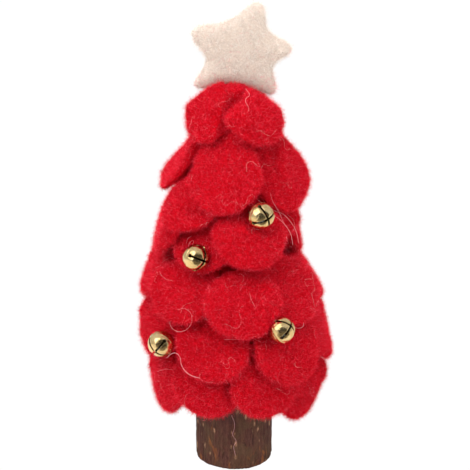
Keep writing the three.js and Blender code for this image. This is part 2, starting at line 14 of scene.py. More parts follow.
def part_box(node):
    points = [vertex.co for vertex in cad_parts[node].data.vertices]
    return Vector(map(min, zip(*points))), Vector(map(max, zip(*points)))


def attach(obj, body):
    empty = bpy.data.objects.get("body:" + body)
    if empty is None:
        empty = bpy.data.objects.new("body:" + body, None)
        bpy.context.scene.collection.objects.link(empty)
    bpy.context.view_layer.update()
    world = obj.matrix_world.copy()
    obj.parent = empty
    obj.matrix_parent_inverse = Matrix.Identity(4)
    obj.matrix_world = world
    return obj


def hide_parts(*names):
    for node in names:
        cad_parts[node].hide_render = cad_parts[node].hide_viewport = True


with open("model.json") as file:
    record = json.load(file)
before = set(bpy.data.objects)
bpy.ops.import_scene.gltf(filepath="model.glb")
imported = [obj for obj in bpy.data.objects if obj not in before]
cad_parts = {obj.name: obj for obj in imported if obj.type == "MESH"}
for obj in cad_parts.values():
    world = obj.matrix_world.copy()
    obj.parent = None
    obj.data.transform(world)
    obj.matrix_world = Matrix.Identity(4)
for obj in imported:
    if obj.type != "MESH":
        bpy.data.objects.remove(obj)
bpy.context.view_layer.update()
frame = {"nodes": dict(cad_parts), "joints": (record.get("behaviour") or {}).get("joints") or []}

MM = 0.001
SEED = 20261
TURN = 2 * math.pi

# The camera that sees the tree as the photograph does
CAMERA_DISTANCE = 550
CAMERA_ELEVATION = 17.5
CAMERA_TARGET = (0.4, 0, 94)
CAMERA_LENS = 107.5
CAMERA_SENSOR = 36
CAMERA_CLIP = (10, 20000)
IMAGE_SIDE = 470

# Felt: the voxels that each body is rebuilt from, how far it is softened, and its lumps
FELT_VOXEL = 0.68
FELT_SOFTENING = 6
FELT_SOFTENING_STEP = 0.5
FELT_REGROWTH = -0.05
LUMPS = ((0.28, 0.2), (0.12, 0.75))
LUMP_STEPS = (7.3, 3.1, 5.7)

# Fibres: how many start on a square millimetre of felt that shows, their points, their length,
# rise in degrees, radius and curl in degrees, and the shares of them that are deep, usual, bright
# and pale
MATTED = dict(
    density=3.7,
    points=4,
    length=(1.3, 3.8),
    rise=(2, 24),
    radius=0.047,
    curl=48,
    shares=(0.34, 0.38, 0.25, 0.03),
)
STANDING = dict(
    density=2.6,
    points=3,
    length=(1.0, 3.8),
    rise=(20, 85),
    radius=0.03,
    curl=45,
    shares=(0.08, 0.36, 0.49, 0.07),
)
WISPS = dict(
    density=9,
    points=2,
    length=(0.9, 3.4),
    rise=(25, 88),
    radius=0.034,
    curl=0,
    shares=(0.08, 0.36, 0.5, 0.06),
)
LOCKS = dict(
    density=0.08,
    points=7,
    length=(2.5, 7.0),
    rise=(2, 14),
    radius=0.036,
    curl=26,
    shares=(0, 0.3, 0.55, 0.15),
)
FIBRE_KINDS = (MATTED, STANDING, WISPS, LOCKS)

FIBRE_LENGTH_SHARES = (0.6, 1)
FIBRE_RADIUS_SHARES = (0.6, 1.35)
FIBRE_TIP_SHARE = 0.6
FIBRE_ROOT_DEPTH = 0.12
FIBRE_AXIS_SCATTER = 0.5
FIBRE_UPRIGHT = 0.8
CORE_THINNING = 0.5

# How a point of felt is found to show: the ways that are tried from it, how steeply they have to
# rise, where they start, how far each has to be clear, and the share of them that counts as open
SKY_WAYS = 16
SKY_RISE = 0.3
SKY_START = 0.6
SKY_REACH = 60
SKY_ENOUGH = 0.6

# Wool worked in over the sewn loop of each bell, with its own line of random draws
TUFT_SEED = 1000
TUFT_FIBRES = 420
TUFT_POINTS = 5
TUFT_REACH = 3.2
TUFT_HEIGHT = 1.9
TUFT_SCATTER = 0.8
TUFT_BOW = 0.5
TUFT_DRAWN_IN = (0.3, 1)
TUFT_LENGTH_SHARES = (0.6, 1)
TUFT_RADIUS_SHARES = (0.6, 1.3)

# The room that fibres leave to the bells, from rest to the end of their swing
BELL_CLEARANCE = 0.2
SWING_STEPS = 5

# The wad of wool between the two front scales of the top row, over the star's foot
CROWN_MIDDLE = (0.5, -6.8, 151.4)
CROWN_RADII = (5.0, 3.6, 3.8)
CROWN_LEVELS = 24
CROWN_SIDES = 36

# Scales that bend back under a neighbour: how far back they go, how wide the bend is, less than
# nothing where it is the left side that goes back, and the line of the bend, upwards as (x, z)
FOLDS = {
    "felt_scale_row6_3": (3.2, 3.5, ((-6.0, 138.3), (-0.5, 154.8))),
    "felt_scale_row5_6": (2.6, -3.0, ((22.4, 107.3), (21.2, 112.5), (16.1, 126.0), (15.3, 135.0))),
}

# The scale that stands out on the left, drawn in towards the line from its root to its tip, which
# are (x, z): the share of its width that it keeps, and how much longer it gets
WING_NODE = "felt_scale_row5_5"
WING_ROOT = (-12.8, 130.3)
WING_TIP = (-26.0, 115.0)
WING_SLIMNESS = 0.68
WING_GROWTH = 1.2

# The star's lowest wool, where red wool mixes in
STAR_BLUSH_HEIGHT = 9
STAR_BLUSH_SHARE = 0.55
STAR_THINNING = 0.84

# Long stray hairs: how many are tried, how they lie, how they turn, how they taper, and how
# finely a curve is drawn between two of the points given for it
STRAY_COUNT = 120
STRAY_DENSITY = 0.02
STRAY_STEPS = (12, 34)
STRAY_STEP = 0.5
STRAY_LEAST = 6
STRAY_RADIUS = 0.02
STRAY_RADIUS_SHARES = (0.6, 1.3)
STRAY_LIFT = (0.25, 0.8)
STRAY_BOB = 0.7
STRAY_SWING = (0.15, 0.55)
STRAY_WAVE = (0.12, 0.4)
STRAY_JITTER = 0.08
HAIR_ROOT_SHARES = (0.35, 0.8)
HAIR_TIP_SHARES = (0.7, 0.3)
HAIR_CURVE_STEPS = 12
HAIR_LEAST_POINTS = 4

# Hairs that follow the photograph: how much of the lift each point has beyond the one before,
# and how far a point may lie behind its neighbours
HAIR_LIFT_STEP = 0.37
HAIR_DIP = 0.8

# Bells
BELL_RADIUS = 5
BELL_WALL = 0.5
BELL_SEAM_HEIGHT = 0.09
BELL_SEAM_HALF_WIDTH = 0.14
BELL_FIT_ROUNDS = 6
SHELL_LEVELS = 64
SHELL_SIDES = 112
SHELL_INNER_LEVELS = 30
SHELL_INNER_SIDES = 48
SLOT_WIDTH = 0.8
SLOT_END_RADIUS = 0.7
SLOT_END_HEIGHT = 1.57
SLOT_END_POINTS = 28
SLOT_REACH = 7
SLOT_BEVEL = 0.07
SLOT_BEVEL_STEPS = 2
SLOT_LIP_WIDTH = 0.75
SLOT_LIP_DEPTH = 0.22
LOOP_RADIUS = 1.5
LOOP_WIRE_RADIUS = 0.35
LOOP_STEPS = 40
LOOP_SIDES = 12
THREAD_RADIUS = 0.3
THREAD_PLIES = 2
THREAD_TWISTS = 9
THREAD_STEPS = 120
THREAD_SIDES = 8
PLY_RADIUS_SHARE = 0.52
PLY_OFFSET_SHARE = 0.45
PELLET_RADIUS = 1.5
PELLET_LEVELS = 20
PELLET_SIDES = 32
PELLET_DENT_SHARE = 0.012
PELLET_DENT_SCALE = 1.3

# The bells' slots, as parts of +X, +Y and +Z: where they point, and the way one of them runs
BELL_SHARES = (
    ((0.51, -0.86, 0), (-0.32, -0.19, 0.93)),
    ((0.63, -0.776, -0.03), (-0.685, -0.574, 0.45)),
    ((0.677, -0.516, 0.526), (-0.274, -0.84, -0.47)),
    ((-0.43, -0.833, -0.345), (0.495, -0.538, 0.682)),
)

# Lights round the tree: azimuth, elevation, distance, size and power
LIGHTS = {
    "key": (-42, 45, 900, 620, 8.6),
    "fill": (46, 28, 950, 700, 5.3),
    "crown": (20, 80, 900, 700, 3.8),
    "back_left": (-140, 35, 900, 700, 3),
    "back_right": (140, 35, 900, 700, 3),
}

# The light that the surroundings give, all round and in front
GIVEN_ROUND = 0.47
GIVEN_FRONT = 0.1
FRONT_WAY = (0, 14)
FRONT_COSINES = (0.62, 0.9)

# The surroundings that the bells mirror, apart from the light that they give: how bright they
# are all round, in the dim place in front and at the window, and where the two stand
MIRRORED_ROUND = 0.7
MIRRORED_FRONT = 0.08
MIRRORED_WINDOW = 2.5
WINDOW_WAY = (-40, 42)
WINDOW_COSINES = (0.8, 0.93)
DIM_WAY = (12, 2)
DIM_COSINES = (0.62, 0.74)

# The floor: its colours as it lights the tree and as the bells mirror it, its own faint glow,
# and how bright it is where it is seen
FLOOR_WHITE_LOW = (0.9, 0.9, 0.9)
FLOOR_WHITE_HIGH = (0.93, 0.93, 0.93)
FLOOR_MIRRORED = (0.6, 0.58, 0.53)
FLOOR_MIRRORED_FRONT = (0.07, 0.06, 0.045)
FLOOR_GLOW = 0.05
FLOOR_SEEN = 1.02
FLOOR_HALF = 4000
FLOOR_DEPTH = 0.02

# The trunk: its size, its mesh, and how its outline is read from the solid and softened
TRUNK_HEIGHT = 35
TRUNK_FOOT_ROUND = 0.5
TRUNK_SIDES = 420
TRUNK_LEVELS = 130
TRUNK_HOLE_RADIUS = 1.7
TRUNK_HOLE_FLOOR = 14.8
TRUNK_OUTSIDE = 40
TRUNK_SOFTENING = 32
CAP_RINGS = 14

# How far in the trunk's foot is, as shares of its rounding, at a few heights
FOOT_SHARES = {0: 0.7, 0.12: 0.32, 0.3: 0.1}

# The bark's relief, read from noise on a cylinder. Ridges, streaks and crumbs: how high they are,
# how finely they lie across and along the trunk, and how far their noise is shifted. Cracks: how
# finely they lie and their shift, how wide they are and how deep
BARK_RADIUS = 15
BARK_GRAINS = (
    (0.22, 0.42, 0.05, (0, 0)),
    (0.16, 1.3, 0.13, (9, 0)),
    (0.07, 2.6, 0.8, (0, 5)),
)
BARK_CRACKS = (0.6, 0.09, (0, 31))
BARK_CRACK_WIDTH = 0.16
BARK_CRACK_DEPTH = 0.9

# The pin through the trunk, the cone and the star
DOWEL_CHAMFER_SHARE = 0.2
DOWEL_END = 2
DOWEL_LEVELS = 30
DOWEL_SIDES = 40

# Edges that stay sharp, in degrees
BARK_EDGE = 50
SLOT_EDGE = 50
SHELL_EDGE = 40
DOWEL_EDGE = 30


def unit(vectors):
    return vectors / np.maximum(np.linalg.norm(vectors, axis=-1, keepdims=True), 1e-9)


def lerp(a, b, share):
    return a + (b - a) * share


def way_of(azimuth, elevation):
    turn, tilt = math.radians(azimuth), math.radians(elevation)
    return Vector((math.sin(turn) * math.cos(tilt), -math.cos(turn) * math.cos(tilt), math.sin(tilt)))


def in_scene(name, data):
    """An object made from data, put in the scene."""
    made = bpy.data.objects.new(name, data)
    bpy.context.scene.collection.objects.link(made)
    return made


# Meshes


def mesh_of(name, points, quads, triangles, materials, slots=None):
    """A mesh from arrays in millimetres, smooth shaded, at the origin of the frame."""
    quads = np.asarray(quads, np.int32).reshape(-1, 4)
    triangles = np.asarray(triangles, np.int32).reshape(-1, 3)
    corners = np.concatenate([quads.ravel(), triangles.ravel()])
    starts = np.concatenate(
        [np.arange(len(quads)) * 4, quads.size + np.arange(len(triangles)) * 3]
    )
    mesh = bpy.data.meshes.new(name)
    mesh.vertices.add(len(points))
    mesh.vertices.foreach_set("co", np.asarray(points, np.float32).ravel() * MM)
    mesh.loops.add(len(corners))
    mesh.loops.foreach_set("vertex_index", corners.astype(np.int32))
    mesh.polygons.add(len(starts))
    mesh.polygons.foreach_set("loop_start", starts.astype(np.int32))
    if slots is not None:
        mesh.polygons.foreach_set("material_index", np.asarray(slots, np.int32))
    for material in materials:
        mesh.materials.append(material)
    mesh.update(calc_edges=True)
    mesh.shade_smooth()
    return mesh


def piece(mesh, body, slot, *nodes):
    """Puts a mesh in the scene as a piece that rides on a body and stands for CAD nodes."""
    made = in_scene(mesh.name, mesh)
    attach(made, body)
    if nodes:
        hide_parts(*nodes)
    return made


def arrays_of(mesh):
    """Points and normals in millimetres, and triangles, of a mesh."""
    points = np.empty(len(mesh.vertices) * 3, np.float32)
    mesh.vertices.foreach_get("co", points)
    normals = np.empty(len(mesh.vertices) * 3, np.float32)
    mesh.vertices.foreach_get("normal", normals)
    mesh.calc_loop_triangles()
    triangles = np.empty(len(mesh.loop_triangles) * 3, np.int32)
    mesh.loop_triangles.foreach_get("vertices", triangles)
    return points.reshape(-1, 3) / MM, normals.reshape(-1, 3), triangles.reshape(-1, 3)


def set_points(mesh, points):
    mesh.vertices.foreach_set("co", (points * MM).astype(np.float32).ravel())
    mesh.update()


def even_turns(count):
    return np.arange(count) * TURN / count


def level_ring(turns, radii, height):
    """A ring of points round Z, with one radius or one for each of its turns."""
    flat = np.stack([np.cos(turns), np.sin(turns)], 1)
    return np.concatenate([flat * np.reshape(radii, (-1, 1)), np.full((len(flat), 1), height)], 1)


def loft(rings, first_middle, last_middle):
    """A closed surface through like rings, with a middle point beyond the first and the last."""
    sides = len(rings[0])
    points = np.concatenate([*rings, [first_middle, last_middle]])
    side = np.arange(sides)
    beside = (side + 1) % sides
    quads = []
    for level in range(len(rings) - 1):
        low = level * sides
        high = low + sides
        quads.append(np.stack([low + side, low + beside, high + beside, high + side], 1))
    first = len(rings) * sides
    top = first - sides
    bottom_fan = np.stack([np.full(sides, first), beside, side], 1)
    top_fan = np.stack([np.full(sides, first + 1), top + side, top + beside], 1)
    return points, np.concatenate(quads), np.concatenate([bottom_fan, top_fan])


# Materials


class Nodes:
    """A short way to write nodes. A value may be a number, a tuple or a socket."""

    def __init__(self, tree):
        self.tree = tree

    def put(self, socket, value):
        if isinstance(value, bpy.types.NodeSocket):
            self.tree.links.new(value, socket)
        elif hasattr(value, "__len__") and len(value) == 3 and socket.type == "RGBA":
            socket.default_value = (*value, 1)
        else:
            socket.default_value = value

    def node(self, kind, output=0, inputs=None, **settings):
        made = self.tree.nodes.new(kind)
        for key, value in settings.items():
            setattr(made, key, value)
        for key, value in (inputs or {}).items():
            self.put(made.inputs[key], value)
        return made.outputs[output]

    def noise(self, place, scale, detail=3, distortion=0.0, roughness=0.55):
        inputs = {"Vector": place, "Scale": scale, "Detail": detail}
        inputs.update({"Distortion": distortion, "Roughness": roughness})
        return self.node("ShaderNodeTexNoise", "Fac", inputs)

    def ramp(self, value, low, high, to_low=0.0, to_high=1.0, shape="LINEAR"):
        inputs = {"Value": value, "From Min": low, "From Max": high}
        inputs.update({"To Min": to_low, "To Max": to_high})
        return self.node("ShaderNodeMapRange", 0, inputs, interpolation_type=shape)

    def along(self, place, way):
        """How far a place lies along a way."""
        inputs = {0: place, 1: way_of(*way)}
        return self.node("ShaderNodeVectorMath", "Value", inputs, operation="DOT_PRODUCT")

    def math(self, operation, a, b=0.0):
        return self.node("ShaderNodeMath", 0, {0: a, 1: b}, operation=operation)

    def mix(self, share, a, b):
        made = self.tree.nodes.new("ShaderNodeMix")
        made.data_type = "RGBA"
        for socket, value in zip((made.inputs[0], made.inputs[6], made.inputs[7]), (share, a, b)):
            self.put(socket, value)
        return made.outputs[2]

    def bump(self, height, distance, strength=1.0):
        inputs = {"Height": height, "Distance": distance * MM, "Strength": strength}
        return self.node("ShaderNodeBump", 0, inputs)


class Shader(Nodes):
    """The nodes of a material."""

    def __init__(self, name):
        self.material = bpy.data.materials.new(name)
        self.material.use_nodes = True
        super().__init__(self.material.node_tree)
        self.surface = self.tree.nodes["Principled BSDF"]

    def set(self, **values):
        for key, value in values.items():
            self.put(self.surface.inputs[key.replace("_", " ")], value)

    def place(self, scale=(1, 1, 1), turn=(0, 0, 0)):
        """The point of the object in millimetres, turned in degrees and then scaled."""
        inputs = {"Vector": self.node("ShaderNodeTexCoord", "Object")}
        inputs["Rotation"] = tuple(math.radians(each) for each in turn)
        inputs["Scale"] = tuple(each / MM for each in scale)
        return self.node("ShaderNodeMapping", 0, inputs)


def wool_streaks(shader):
    """Short bright threads that run all ways through the felt."""
    streaks = None
    for turn in ((10, 20, 35), (70, -15, 80), (-40, 60, 10), (25, 75, -60)):
        place = shader.place((0.55, 3.2, 3.2), turn)
        thread = shader.ramp(shader.noise(place, 1.0, 2, 1.6), 0.58, 0.72)
        streaks = thread if streaks is None else shader.math("MAXIMUM", streaks, thread)
    return streaks


def felt_material(name, deep, usual, bright, thread, sheen):
    shader = Shader(name)
    place = shader.place()
    mottle = shader.ramp(shader.noise(place, 0.22, 4), 0.32, 0.68)
    grain = shader.ramp(shader.noise(place, 1.3, 5, 0.8, 0.65), 0.34, 0.66)
    streaks = wool_streaks(shader)
    colour = shader.mix(mottle, usual, bright)
    colour = shader.mix(grain, deep, colour)
    colour = shader.mix(shader.math("MULTIPLY", streaks, 0.55), colour, thread)
    height = shader.math("ADD", shader.math("MULTIPLY", grain, 0.6), streaks)
    shader.set(Base_Color=colour, Roughness=0.95, Specular_IOR_Level=0.03)
    shader.set(Sheen_Weight=sheen, Sheen_Roughness=0.45, Sheen_Tint=bright)
    shader.set(Normal=shader.bump(height, 0.26, 0.9))
    return shader.material


def fibre_material(name, colour, sheen=0.3):
    shader = Shader(name)
    shader.set(Base_Color=colour, Roughness=0.75, Specular_IOR_Level=0.05)
    shader.set(Sheen_Weight=sheen, Sheen_Roughness=0.4, Sheen_Tint=colour)
    return shader.material


def brass_material():
    shader = Shader("pale_brass")
    place = shader.place()
    cloud = shader.ramp(shader.noise(place, 0.45, 4), 0.35, 0.7)
    scratch = shader.noise(shader.place((0.4, 6, 6), (20, 40, 15)), 1.0, 3, 0.6)
    colour = shader.mix(cloud, (0.66, 0.46, 0.20), (0.85, 0.65, 0.34))
    roughness = shader.ramp(scratch, 0.3, 0.75, 0.16, 0.3)
    shader.set(Base_Color=colour, Metallic=1.0, Roughness=roughness)
    dents = shader.noise(place, 0.32, 2)
    shader.set(Normal=shader.bump(dents, 0.9, 0.5))
    return shader.material


def dull_shaded_brass_material():
    """The unpolished inside of a bell, its brass painted nearly black as painted shade in the hollow.
    """
    shader = Shader("dull_brass")
    stain = shader.noise(shader.place(), 0.8, 4)
    # Near-black colours: painted shade inside the bell, with random stains between the two tones
    shader.set(Base_Color=shader.mix(stain, (0.035, 0.016, 0.005), (0.09, 0.045, 0.015)))
    shader.set(Metallic=1.0, Roughness=shader.ramp(stain, 0.3, 0.7, 0.55, 0.8))
    return shader.material


def steel_material():
    shader = Shader("bright_steel")
    wear = shader.noise(shader.place(), 1.5, 4)
    shader.set(Base_Color=shader.mix(wear, (0.42, 0.42, 0.43), (0.6, 0.6, 0.61)))
    shader.set(Metallic=1.0, Roughness=shader.ramp(wear, 0.3, 0.7, 0.2, 0.42))
    return shader.material


def thread_material():
    shader = Shader("red_thread")
    wear = shader.noise(shader.place(), 3.0, 4)
    colour = shader.mix(shader.ramp(wear, 0.3, 0.7), (0.26, 0.004, 0.01), (0.5, 0.02, 0.035))
    shader.set(Base_Color=colour, Roughness=0.75, Sheen_Weight=0.4)
    shader.set(Normal=shader.bump(wear, 0.05, 0.6))
    return shader.material


def bark_material():
    """Dark brown bark, mottled and finely cracked, with tan pores and scuffs of orange wood."""
    shader = Shader("dark_bark")
    streak = shader.noise(shader.place((1.1, 1.1, 0.16)), 1.0, 6, 0.9, 0.65)
    patch = shader.noise(shader.place((0.17, 0.17, 0.1)), 1.0, 4, 0.6)
    fine = shader.noise(shader.place((3.4, 3.4, 1.3)), 1.0, 5)
    colour = shader.mix(
        shader.ramp(streak, 0.36, 0.64), (0.033, 0.013, 0.010), (0.110, 0.043, 0.031)
    )
    colour = shader.mix(shader.ramp(patch, 0.46, 0.62, 0, 0.6), colour, (0.086, 0.049, 0.026))
    colour = shader.mix(shader.ramp(patch, 0.46, 0.3, 0, 0.5), colour, (0.062, 0.026, 0.024))
    colour = shader.mix(shader.ramp(fine, 0.54, 0.78, 0, 0.5), colour, (0.185, 0.096, 0.062))
    colour = shader.mix(shader.ramp(fine, 0.42, 0.24, 0, 0.7), colour, (0.02, 0.009, 0.008))
    pores = shader.node(
        "ShaderNodeTexVoronoi",
        "Distance",
        {"Vector": shader.place((0.42, 0.42, 0.2)), "Scale": 1.0, "Randomness": 1.0},
    )
    gate = shader.ramp(shader.noise(shader.place((0.24, 0.24, 0.13)), 1.0, 1), 0.46, 0.53)
    pore = shader.math("MULTIPLY", shader.ramp(pores, 0.29, 0.14), gate)
    broken = shader.math("MULTIPLY", pore, shader.ramp(fine, 0.36, 0.5, 0.1, 1))
    colour = shader.mix(broken, colour, (0.36, 0.19, 0.11))
    scuffs = shader.noise(shader.place((0.2, 0.2, 0.09), (0, 0, 40)), 1.0, 3, 0.8)
    scuff = shader.ramp(scuffs, 0.61, 0.7, 0, 0.75)
    colour = shader.mix(scuff, colour, (0.21, 0.07, 0.022))
    height = shader.math("ADD", streak, shader.math("MULTIPLY", fine, 0.6))
    shader.set(Base_Color=colour, Roughness=shader.ramp(fine, 0.3, 0.7, 0.65, 0.9))
    shader.set(Specular_IOR_Level=0.12, Normal=shader.bump(height, 0.3, 0.9))
    return shader.material


def sawn_material(name, light, dark):
    """A sawn wood end with its year rings round the middle of the branch."""
    shader = Shader(name)
    place = shader.place((1, 1, 0.02))
    wobble = shader.noise(place, 0.12, 2)
    radius = shader.node("ShaderNodeVectorMath", "Value", {0: place}, operation="LENGTH")
    ring = shader.math("ADD", radius, shader.math("MULTIPLY", wobble, 4.0))
    wave = shader.math("SINE", shader.math("MULTIPLY", ring, 4.2))
    saw = shader.noise(shader.place((0.25, 5, 5)), 1.0, 4)
    colour = shader.mix(shader.ramp(wave, -0.4, 1.0, 0, 0.8), light, dark)
    colour = shader.mix(shader.ramp(saw, 0.4, 0.75, 0, 0.35), colour, dark)
    shader.set(Base_Color=colour, Roughness=0.8, Normal=shader.bump(saw, 0.12, 0.6))
    return shader.material


def floor_material():
    """White paper that lights the tree from below, and that is plain white where it is seen."""
    shader = Shader("white_floor")
    grain = shader.noise(shader.place(), 0.02, 3)
    white = shader.mix(grain, FLOOR_WHITE_LOW, FLOOR_WHITE_HIGH)
    middle = tuple(each * MM for each in CAMERA_TARGET)
    away = shader.node("ShaderNodeNewGeometry", "Position")
    away = shader.node("ShaderNodeVectorMath", 0, {0: away, 1: middle}, operation="SUBTRACT")
    away = shader.node("ShaderNodeVectorMath", 0, {0: away}, operation="NORMALIZE")
    dim = shader.ramp(shader.along(away, DIM_WAY), *DIM_COSINES)
    mirrored = shader.mix(dim, FLOOR_MIRRORED, FLOOR_MIRRORED_FRONT)
    glossy = shader.node("ShaderNodeLightPath", "Is Glossy Ray")
    seen = shader.node("ShaderNodeLightPath", "Is Camera Ray")
    lit = shader.mix(glossy, white, mirrored)
    shader.set(Base_Color=shader.mix(seen, lit, (0, 0, 0)), Roughness=1, Specular_IOR_Level=0)
    shader.set(Emission_Color=(1, 1, 1))
    shader.set(Emission_Strength=shader.ramp(seen, 0, 1, FLOOR_GLOW, FLOOR_SEEN))
    return shader.material


red_felt = felt_material(
    "red_wool_felt",
    (0.36, 0.001, 0.005),
    (0.66, 0.002, 0.010),
    (0.78, 0.004, 0.016),
    (0.86, 0.018, 0.036),
    0.2,
)
# The core's felt, a little darker than the scales' felt: painted shade where the cone shows in the
# gaps between scales
core_felt = felt_material(
    "deep_red_wool",
    (0.30, 0.001, 0.004),
    (0.58, 0.002, 0.008),
    (0.72, 0.004, 0.014),
    (0.82, 0.016, 0.03),
    0.2,
)
cream_felt = felt_material(
    "cream_wool_felt",
    (0.66, 0.53, 0.44),
    (0.84, 0.71, 0.61),
    (0.90, 0.79, 0.69),
    (0.95, 0.88, 0.82),
    0.15,
)
red_fibres = (
    fibre_material("fibre_deep_red", (0.40, 0.001, 0.005)),
    fibre_material("fibre_red", (0.68, 0.003, 0.012)),
    fibre_material("fibre_bright_red", (0.90, 0.027, 0.058)),
    fibre_material("fibre_pink", (0.94, 0.16, 0.21)),
)
cream_fibres = (
    fibre_material("fibre_cream", (0.84, 0.70, 0.60)),
    fibre_material("fibre_pale_cream", (0.96, 0.85, 0.76)),
    fibre_material("fibre_white", (0.99, 0.95, 0.90)),
    fibre_material("fibre_rose", (0.88, 0.34, 0.35)),
)
CREAM_SHARES = (0.35, 0.38, 0.25, 0.02)
stray_fibre = fibre_material("stray_pale_pink", (0.95, 0.50, 0.54), 0.5)
stray_white = fibre_material("stray_white", (0.95, 0.72, 0.70), 0.5)
brass = brass_material()
dull_brass = dull_shaded_brass_material()
steel = steel_material()
red_thread = thread_material()
bark = bark_material()
sawn_wood = sawn_material("sawn_wood", (0.50, 0.33, 0.18), (0.30, 0.17, 0.085))
dowel_wood = sawn_material("dowel_wood", (0.62, 0.45, 0.27), (0.45, 0.29, 0.15))


# Felt bodies


def softened(nodes):
    """Each CAD node rebuilt from small voxels and smoothed, as {node: mesh}."""
    rough = {}
    for node in nodes:
        made = in_scene("rough_" + node, frame["nodes"][node].data.copy())
        remesh = made.modifiers.new("remesh", "REMESH")
        remesh.mode = "VOXEL"
        remesh.voxel_size = FELT_VOXEL * MM
        smooth = made.modifiers.new("smooth", "SMOOTH")
        smooth.factor = FELT_SOFTENING_STEP
        smooth.iterations = FELT_SOFTENING
        rough[node] = made
    view = bpy.context.evaluated_depsgraph_get()
    meshes = {}
    for node, made in rough.items():
        meshes[node] = bpy.data.meshes.new_from_object(made.evaluated_get(view))
    for made in rough.values():
        bpy.data.objects.remove(made)
    return meshes


def felted(mesh, name, material, offset):
    """Gives a softened body back its size, and the gentle lumps of hand-made felt."""
    mesh.name = name
    mesh.materials.clear()
    mesh.materials.append(material)
    points, normals, _ = arrays_of(mesh)
    push = np.full(len(points), FELT_REGROWTH)
    for height, scale in LUMPS:
        shift = Vector([offset * step for step in LUMP_STEPS])
        push += [height * noise.noise(Vector(point) * scale + shift) for point in points.tolist()]
    set_points(mesh, points + normals * push[:, None])
    mesh.shade_smooth()
    return mesh


def fold_back(mesh, depth, width, line):
    """Bends the felt on one side of a fold back towards the cone."""
    points, _, _ = arrays_of(mesh)
    across, up = zip(*line)
    fold = np.interp(points[:, 2], up, across)
    share = np.clip((points[:, 0] - fold) / width + 0.5, 0, 1)
    points[:, 1] += depth * share**2 * (3 - 2 * share)
    set_points(mesh, points)


def slim_wing(mesh):
    """Draws the upper side of the wing in towards its middle line, more and more to its tip."""
    points, _, _ = arrays_of(mesh)
    root, tip = np.array(WING_ROOT), np.array(WING_TIP)
    reach = np.linalg.norm(tip - root)
    along = (tip - root) / reach
    upward = np.array((along[1], -along[0]))
    flat = points[:, (0, 2)] - root
    share = np.clip(flat @ along / reach, 0, 1)
    height = np.maximum(flat @ upward, 0)
    inward = height * (1 - WING_SLIMNESS) * np.clip(2 * share, 0, 1)
    points[:, (0, 2)] += share[:, None] * WING_GROWTH * along - inward[:, None] * upward
    set_points(mesh, points)


def crown_mesh():
    points, quads, fans = lathe(ball_profile(1, CROWN_LEVELS), CROWN_SIDES)
    return mesh_of("crown", points * CROWN_RADII + CROWN_MIDDLE, quads, fans, ())


def tree_of(meshes):
    points, faces, start = [], [], 0
    for mesh in meshes:
        these, _, triangles = arrays_of(mesh)
        points.append(these)
        faces.append(triangles + start)
        start += len(these)
    return BVHTree.FromPolygons(np.concatenate(points).tolist(), np.concatenate(faces).tolist())


# Fibres


def even_ways(count):
    """Ways that point evenly all round."""
    turn = np.arange(count) * math.pi * (3 - math.sqrt(5))
    up = 1 - (2 * np.arange(count) + 1) / count
    flat = np.sqrt(1 - up**2)
    return np.stack([np.cos(turn) * flat, np.sin(turn) * flat, up], 1)


def openness(mesh, tree):
    """How open each point of a mesh lies, from 0 where other felt hides it to 1."""
    points, normals, _ = arrays_of(mesh)
    ways = even_ways(SKY_WAYS)
    tried = normals @ ways.T > SKY_RISE
    ways = ways.tolist()
    cast = tree.ray_cast
    shares = np.empty(len(points))
    for i, start in enumerate((points + normals * SKY_START).tolist()):
        clear = [cast(start, way, SKY_REACH)[0] is None for way, used in zip(ways, tried[i]) if used]
        shares[i] = min(1, sum(clear) / len(clear) / SKY_ENOUGH) ** 2
    return shares


def sampled(mesh, density, shown, rng):
    """Points on a mesh where its surface shows, and the normals there."""
    points, normals, triangles = arrays_of(mesh)
    a, b, c = (points[triangles[:, i]] for i in range(3))
    areas = np.linalg.norm(np.cross(b - a, c - a), axis=1) / 2 * shown[triangles].mean(1)
    count = int(areas.sum() * density)
    chosen = rng.choice(len(triangles), count, p=areas / areas.sum())
    u, v = rng.random((2, count, 1))
    over = u + v > 1
    u, v = np.where(over, 1 - u, u), np.where(over, 1 - v, v)
    corners = triangles[chosen]
    shares = (1 - u - v, u, v)
    at = sum(share * points[corners[:, i]] for i, share in enumerate(shares))
    facing = unit(sum(share * normals[corners[:, i]] for i, share in enumerate(shares)))
    return at, facing


def tubes(points, radii):
    """Three-sided tubes along rows of points, each closed by a flat root and a pointed tip."""
    count, length, _ = points.shape
    along = unit(np.diff(points, axis=1))
    upright = np.abs(along[:, 0, 2:]) > FIBRE_UPRIGHT
    helper = np.where(upright, (1.0, 0.0, 0.0), (0.0, 0.0, 1.0))
    side = unit(np.cross(along[:, 0], helper))
    rings = []
    for ring in range(length - 1):
        way = along[:, ring]
        side = unit(side - (side * way).sum(1, keepdims=True) * way)
        other = np.cross(way, side)
        for corner in range(3):
            turn = TURN * corner / 3
            out = side * math.cos(turn) + other * math.sin(turn)
            rings.append(points[:, ring] + out * radii[:, ring, None])
    verts = np.stack([*rings, points[:, -1]], 1)
    quads, last = [], (length - 2) * 3
    for ring in range(length - 2):
        for corner in range(3):
            a, b = ring * 3 + corner, ring * 3 + (corner + 1) % 3
            quads.append((a, b, b + 3, a + 3))
    tips = [(last + i, last + (i + 1) % 3, last + 3) for i in range(3)] + [(2, 1, 0)]
    starts = (np.arange(count) * verts.shape[1])[:, None, None]
    all_quads = (np.array(quads, int).reshape(1, -1, 4) + starts).reshape(-1, 4)
    all_tips = (np.array(tips)[None] + starts).reshape(-1, 3)
    return verts.reshape(-1, 3), all_quads, all_tips, len(quads), len(tips)


